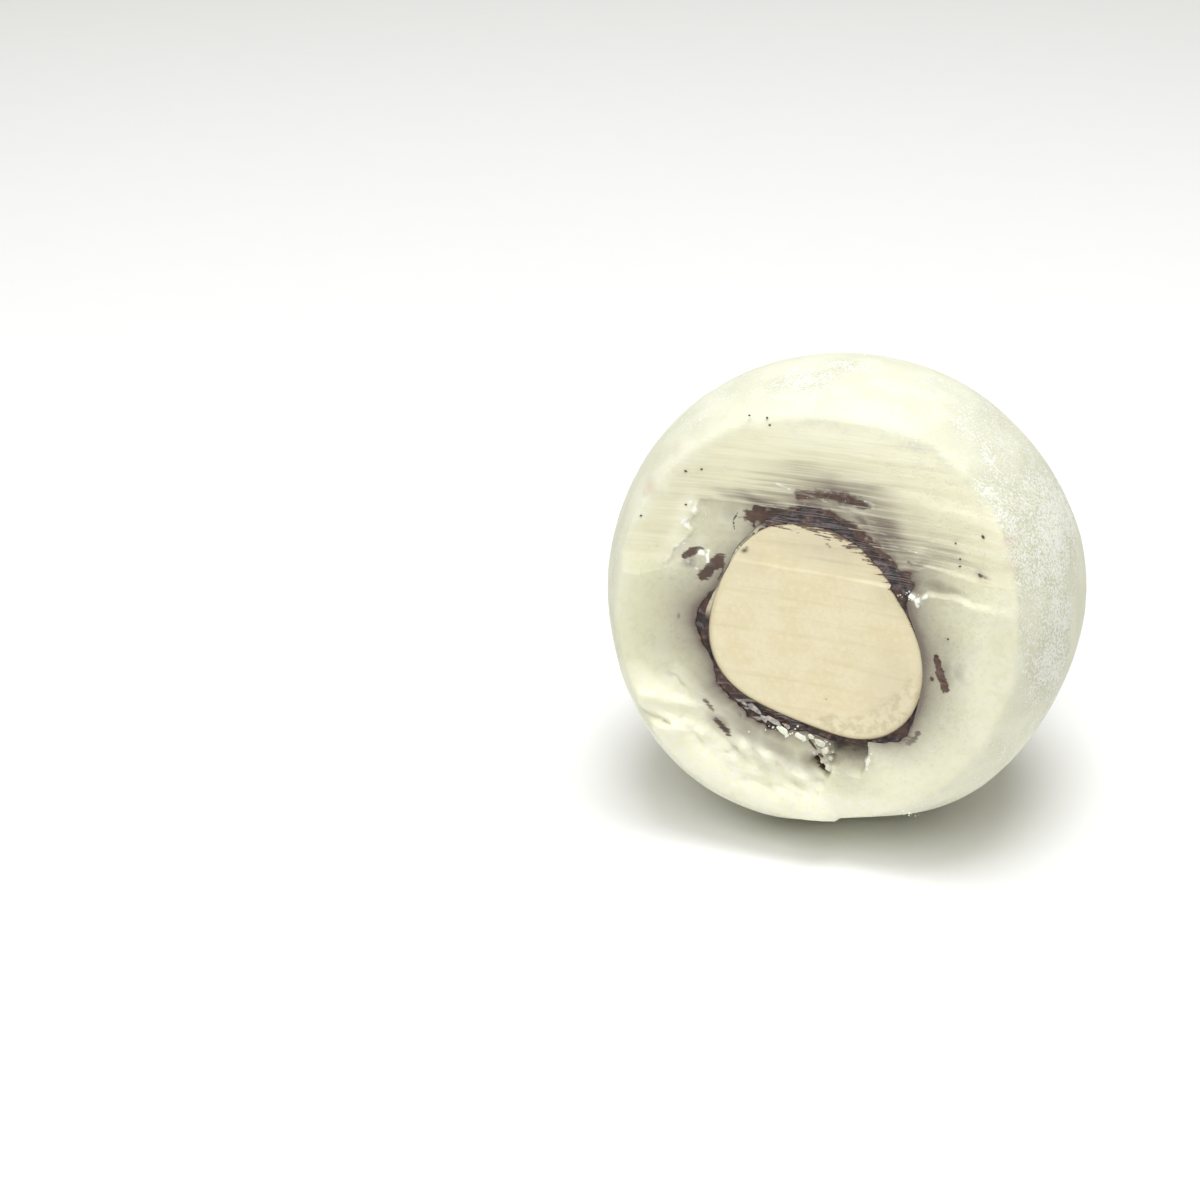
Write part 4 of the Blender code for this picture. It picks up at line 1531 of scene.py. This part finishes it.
class NUT_OT_flakes(bpy.types.Operator):
    """Make the flakes of skin that lie on the cut."""

    bl_idname = "nut.flakes"
    bl_label = "Skin flakes"

    def execute(self, context):
        """Build each flake as a thin ragged plate that follows the cut."""
        points = []
        faces = []
        draw = np.random.default_rng(5)
        turn = turns(FLAKE_POINTS)
        for right, up, half_length, half_width, degrees in FLAKES:
            angle = math.radians(degrees)
            ragged = 1.0 + draw.uniform(-0.28, 0.22, FLAKE_POINTS)
            along = half_length * np.cos(turn) * ragged
            across = half_width * np.sin(turn) * ragged
            x = np.append(right + along * math.cos(angle) - across * math.sin(angle), right)
            y = np.append(up + along * math.sin(angle) + across * math.cos(angle), up)
            height = cut_height(x, y)
            height = np.minimum(height, np.median(height) + 0.1) + FLAKE_PROUD
            start = len(points)
            points += from_cut(x, y, height).tolist() + from_cut(x, y, height - FLAKE_THICKNESS).tolist()
            below = start + FLAKE_POINTS + 1
            for index in range(FLAKE_POINTS):
                after = (index + 1) % FLAKE_POINTS
                faces.append((start + FLAKE_POINTS, start + index, start + after))
                faces.append((below + FLAKE_POINTS, below + after, below + index))
                faces.append((start + index, below + index, below + after, start + after))
        mesh = loose_mesh("skin_flakes", points, faces, chalk=[0.15] * len(points), red=[1.0] * len(points))
        face_out(mesh)
        add_piece("skin_flakes", mesh, skin_material(), None)
        return {"FINISHED"}


# Where loose crumbs lie on the cut: right, up, spread right, spread up, share, largest size
CRUMB_PLACES = (
    (0.95, -5.75, 0.40, 0.30, 0.06, 0.14),
    (1.15, -6.5, 0.16, 0.5, 0.08, 0.14),
    (3.22, -6.1, 0.12, 0.7, 0.08, 0.12),
    (-1.1, -5.45, 1.2, 0.30, 0.14, 0.12),
    (4.6, 2.30, 0.6, 0.16, 0.12, 0.09),
    (-0.6, 6.2, 2.4, 0.5, 0.10, 0.045),
    (-6.3, 4.3, 0.5, 0.9, 0.06, 0.07),
    (5.45, -8.75, 0.45, 0.12, 0.12, 0.09),
    (5.9, -1.3, 0.25, 0.6, 0.03, 0.06),
    (2.5, -7.3, 1.2, 0.25, 0.08, 0.05),
)
# Single larger chunks: right, up, length, width, height, turn in degrees, whiteness
CHUNKS = (
    (0.78, -5.86, 0.62, 0.40, 0.26, -35, 0.62),
    (1.10, -6.20, 0.50, 0.44, 0.26, -60, 0.70),
    (0.32, -5.64, 0.34, 0.20, 0.16, -30, 0.75),
    (0.55, -6.45, 0.30, 0.18, 0.16, -60, 0.45),
    (1.28, -6.70, 0.30, 0.26, 0.22, 70, 0.7),
    (0.98, -6.80, 0.32, 0.22, 0.20, 30, 0.5),
    (1.30, -7.10, 0.40, 0.30, 0.22, -20, 0.66),
    (-1.11, -5.55, 0.55, 0.36, 0.20, -18, 0.95),
    (-1.34, -5.42, 0.30, 0.22, 0.16, 60, 1.0),
    (-0.92, -5.78, 0.26, 0.22, 0.14, 20, 1.0),
    (-0.23, -5.72, 0.72, 0.26, 0.16, -24, 0.95),
    (-0.02, -5.86, 0.26, 0.20, 0.12, 15, 0.9),
    (-2.60, -4.72, 0.80, 0.30, 0.10, -30, 0.12),
    (-1.72, -5.14, 0.95, 0.32, 0.12, -24, 0.22),
    (-2.10, -5.08, 0.50, 0.30, 0.10, -30, 0.18),
    (-3.15, -4.50, 0.45, 0.18, 0.08, -38, 0.05),
    (-3.35, -5.15, 0.40, 0.16, 0.08, -38, 0.10),
    (-0.95, -5.30, 0.45, 0.22, 0.08, -22, 0.15),
)


class NUT_OT_crumbs(bpy.types.Operator):
    """Scatter the loose crumbs of coat on the cut."""

    bl_idname = "nut.crumbs"
    bl_label = "Crumbs"

    def execute(self, context):
        """Build each crumb as a small dented lump, half sunk in the surface."""
        draw = np.random.default_rng(8)
        ax, ay, az = axes()
        lumps = []
        for right, up, spread_right, spread_up, share, largest in CRUMB_PLACES:
            for _ in range(round(share * context.scene.nut_shape.crumb_count)):
                x = right + spread_right * draw.normal() * 0.6
                y = up + spread_up * draw.normal() * 0.6
                size = largest * draw.uniform(0.3, 1.0)
                width = size * draw.uniform(0.6, 1.0)
                lumps.append((x, y, size, width, size * 0.7, draw.uniform(0.0, 6.0), 1.0))
        lumps += [(*chunk[:5], math.radians(chunk[5]), chunk[6]) for chunk in CHUNKS]
        points = []
        faces = []
        white = []
        for right, up, length, width, height, turn, pale in lumps:
            form, corners = LUMP
            dented = form * draw.uniform(0.55, 1.2, (len(form), 1)) * np.array([length, width, height]) * 0.6
            x = dented[:, 0] * math.cos(turn) - dented[:, 1] * math.sin(turn)
            y = dented[:, 0] * math.sin(turn) + dented[:, 1] * math.cos(turn)
            lump = x[:, None] * ax + y[:, None] * ay + dented[:, 2:] * az
            spot = (np.array([right]), np.array([up]))
            ground = max(float(cut_height(*spot)[0]), -0.35)
            place = from_cut(*spot, np.array([ground + 0.2 * height]))[0]
            start = len(points)
            points += (place + lump).tolist()
            white += [pale] * len(form)
            faces += [tuple(start + corner for corner in face) for face in corners]
        mesh = loose_mesh("crumbs", points, faces, white=white)
        add_piece("crumbs", mesh, crumb_material(), None)
        return {"FINISHED"}


def lump_form():
    """The points and faces of a unit icosahedron."""
    golden = (1.0 + math.sqrt(5.0)) / 2.0
    points = []
    for one in (-1.0, 1.0):
        for two in (-golden, golden):
            points += [(0.0, one, two), (one, two, 0.0), (two, 0.0, one)]
    points = np.array(points) / math.hypot(1.0, golden)
    faces = []
    count = len(points)
    for a in range(count):
        for b in range(a + 1, count):
            for c in range(b + 1, count):
                sides = [np.linalg.norm(points[i] - points[j]) for i, j in ((a, b), (b, c), (a, c))]
                if max(sides) < 1.1:
                    facing = np.cross(points[b] - points[a], points[c] - points[a])
                    faces.append((a, b, c) if np.dot(facing, points[a]) > 0.0 else (a, c, b))
    return points, faces


LUMP = lump_form()


class NUT_OT_stage(bpy.types.Operator):
    """Set up the table, the light and the camera."""

    bl_idname = "nut.stage"
    bl_label = "Stage"

    def execute(self, context):
        """Add a plain white table, an even sky, three soft lamps, and the camera."""
        stage = context.scene.nut_stage
        mesh = bpy.data.meshes.new("table")
        half = 1.5
        corners = [(-half, -half, 0), (half, -half, 0), (half, half, 0), (-half, half, 0)]
        mesh.from_pydata(corners, [], [(0, 1, 2, 3)])
        material, nodes, shader = start_material("table")
        grain = nodes.group("Fine grain", Place=nodes.place(), Size=0.0006)
        colour = nodes.mix(grain["Cloud"], (0.93, 0.93, 0.93), (0.95, 0.95, 0.95))
        rough = nodes.between(grain["Grain"], 0.75, 0.9)
        plug(nodes, shader, colour, rough, nodes.bump(grain["Grain"], 0.000005, 0.3))
        mesh.materials.append(material)
        show("table", mesh)

        world = bpy.data.worlds.new("sky")
        world.use_nodes = True
        background = world.node_tree.nodes["Background"]
        background.inputs["Color"].default_value = (1.0, 0.965, 0.84, 1.0)
        background.inputs["Strength"].default_value = stage.sky
        context.scene.world = world

        for name, place, size, power in (
            ("lamp_above", (0.015, 0.0, 0.32), 0.22, stage.lamp_above),
            ("lamp_left", (-0.24, -0.18, 0.27), 0.20, stage.lamp_left),
            ("lamp_front", (0.01, -0.22, 0.31), 0.26, stage.lamp_front),
        ):
            lamp = bpy.data.lights.new(name, "AREA")
            lamp.shape = "DISK"
            lamp.size = size
            lamp.energy = power
            lamp.color = (0.965, 0.98, 1.0)
            lamp_object = show(name, lamp)
            lamp_object.location = place
            aim = Vector((0.0, 0.0, 0.01)) - Vector(place)
            lamp_object.rotation_euler = aim.to_track_quat("-Z", "Y").to_euler()

        right = np.array([math.cos(stage.azimuth), math.sin(stage.azimuth), 0.0])
        level = np.array([right[1], -right[0], 0.0])
        back = level * math.cos(stage.elevation) + np.array([0.0, 0.0, math.sin(stage.elevation)])
        up = np.cross(back, right)
        pixels_per_turn = stage.lens / 36.0 * PHOTO_WIDTH
        off_right = (BALL_PIXEL_X - PHOTO_WIDTH / 2) / pixels_per_turn * stage.distance
        off_up = (PHOTO_WIDTH / 2 - BALL_PIXEL_Y) / pixels_per_turn * stage.distance
        place = ball_centre() * MM + stage.distance * back - off_right * right - off_up * up
        data = bpy.data.cameras.new("camera")
        data.lens = stage.lens
        data.sensor_width = 36.0
        data.clip_start = 0.005
        camera = show("camera", data)
        matrix = np.eye(4)
        matrix[:3] = np.stack([right, up, back, place], axis=1)
        camera.matrix_world = Matrix(matrix.tolist())
        context.scene.camera = camera
        context.scene.view_settings.view_transform = "Standard"
        return {"FINISHED"}


# The ball's centre in the photograph's frame of 1200 by 1200 pixels
PHOTO_WIDTH = 1200
BALL_PIXEL_X = 848.5
BALL_PIXEL_Y = 588.0


class NUT_PT_panel(bpy.types.Panel):
    """The pieces in the sidebar."""

    bl_label = "Cut hazelnut"
    bl_idname = "NUT_PT_panel"
    bl_space_type = "VIEW_3D"
    bl_region_type = "UI"
    bl_category = "Nut"

    def draw(self, context):
        """One button for each piece, then the sizes and colours."""
        for operator in OPERATORS:
            self.layout.operator(operator.bl_idname)
        for group in (context.scene.nut_shape, context.scene.nut_colours, context.scene.nut_stage):
            for key in group.bl_rna.properties.keys():
                if key not in ("rna_type", "name"):
                    self.layout.prop(group, key)


OPERATORS = (NUT_OT_stage, NUT_OT_coat, NUT_OT_skin, NUT_OT_kernel, NUT_OT_flakes, NUT_OT_crumbs)
GROUPS = (("nut_shape", CutNutShape), ("nut_colours", CutNutColours), ("nut_stage", CutNutStage))


def register():
    """Register the classes and hang the settings on the scene."""
    for key, group in GROUPS:
        bpy.utils.register_class(group)
        setattr(bpy.types.Scene, key, PointerProperty(type=group))
    for item in (*OPERATORS, NUT_PT_panel):
        bpy.utils.register_class(item)


def unregister():
    """Take the settings and classes away again."""
    for item in (NUT_PT_panel, *reversed(OPERATORS)):
        bpy.utils.unregister_class(item)
    for key, group in reversed(GROUPS):
        delattr(bpy.types.Scene, key)
        bpy.utils.unregister_class(group)


def main():
    """Build every piece."""
    register()
    for make_group in (make_knife_group, make_dust_group, make_skin_group, make_grain_group):
        make_group()
    bpy.ops.nut.stage()
    bpy.ops.nut.coat()
    bpy.ops.nut.skin()
    bpy.ops.nut.kernel()
    bpy.ops.nut.flakes()
    bpy.ops.nut.crumbs()


if __name__ == "__main__":
    main()
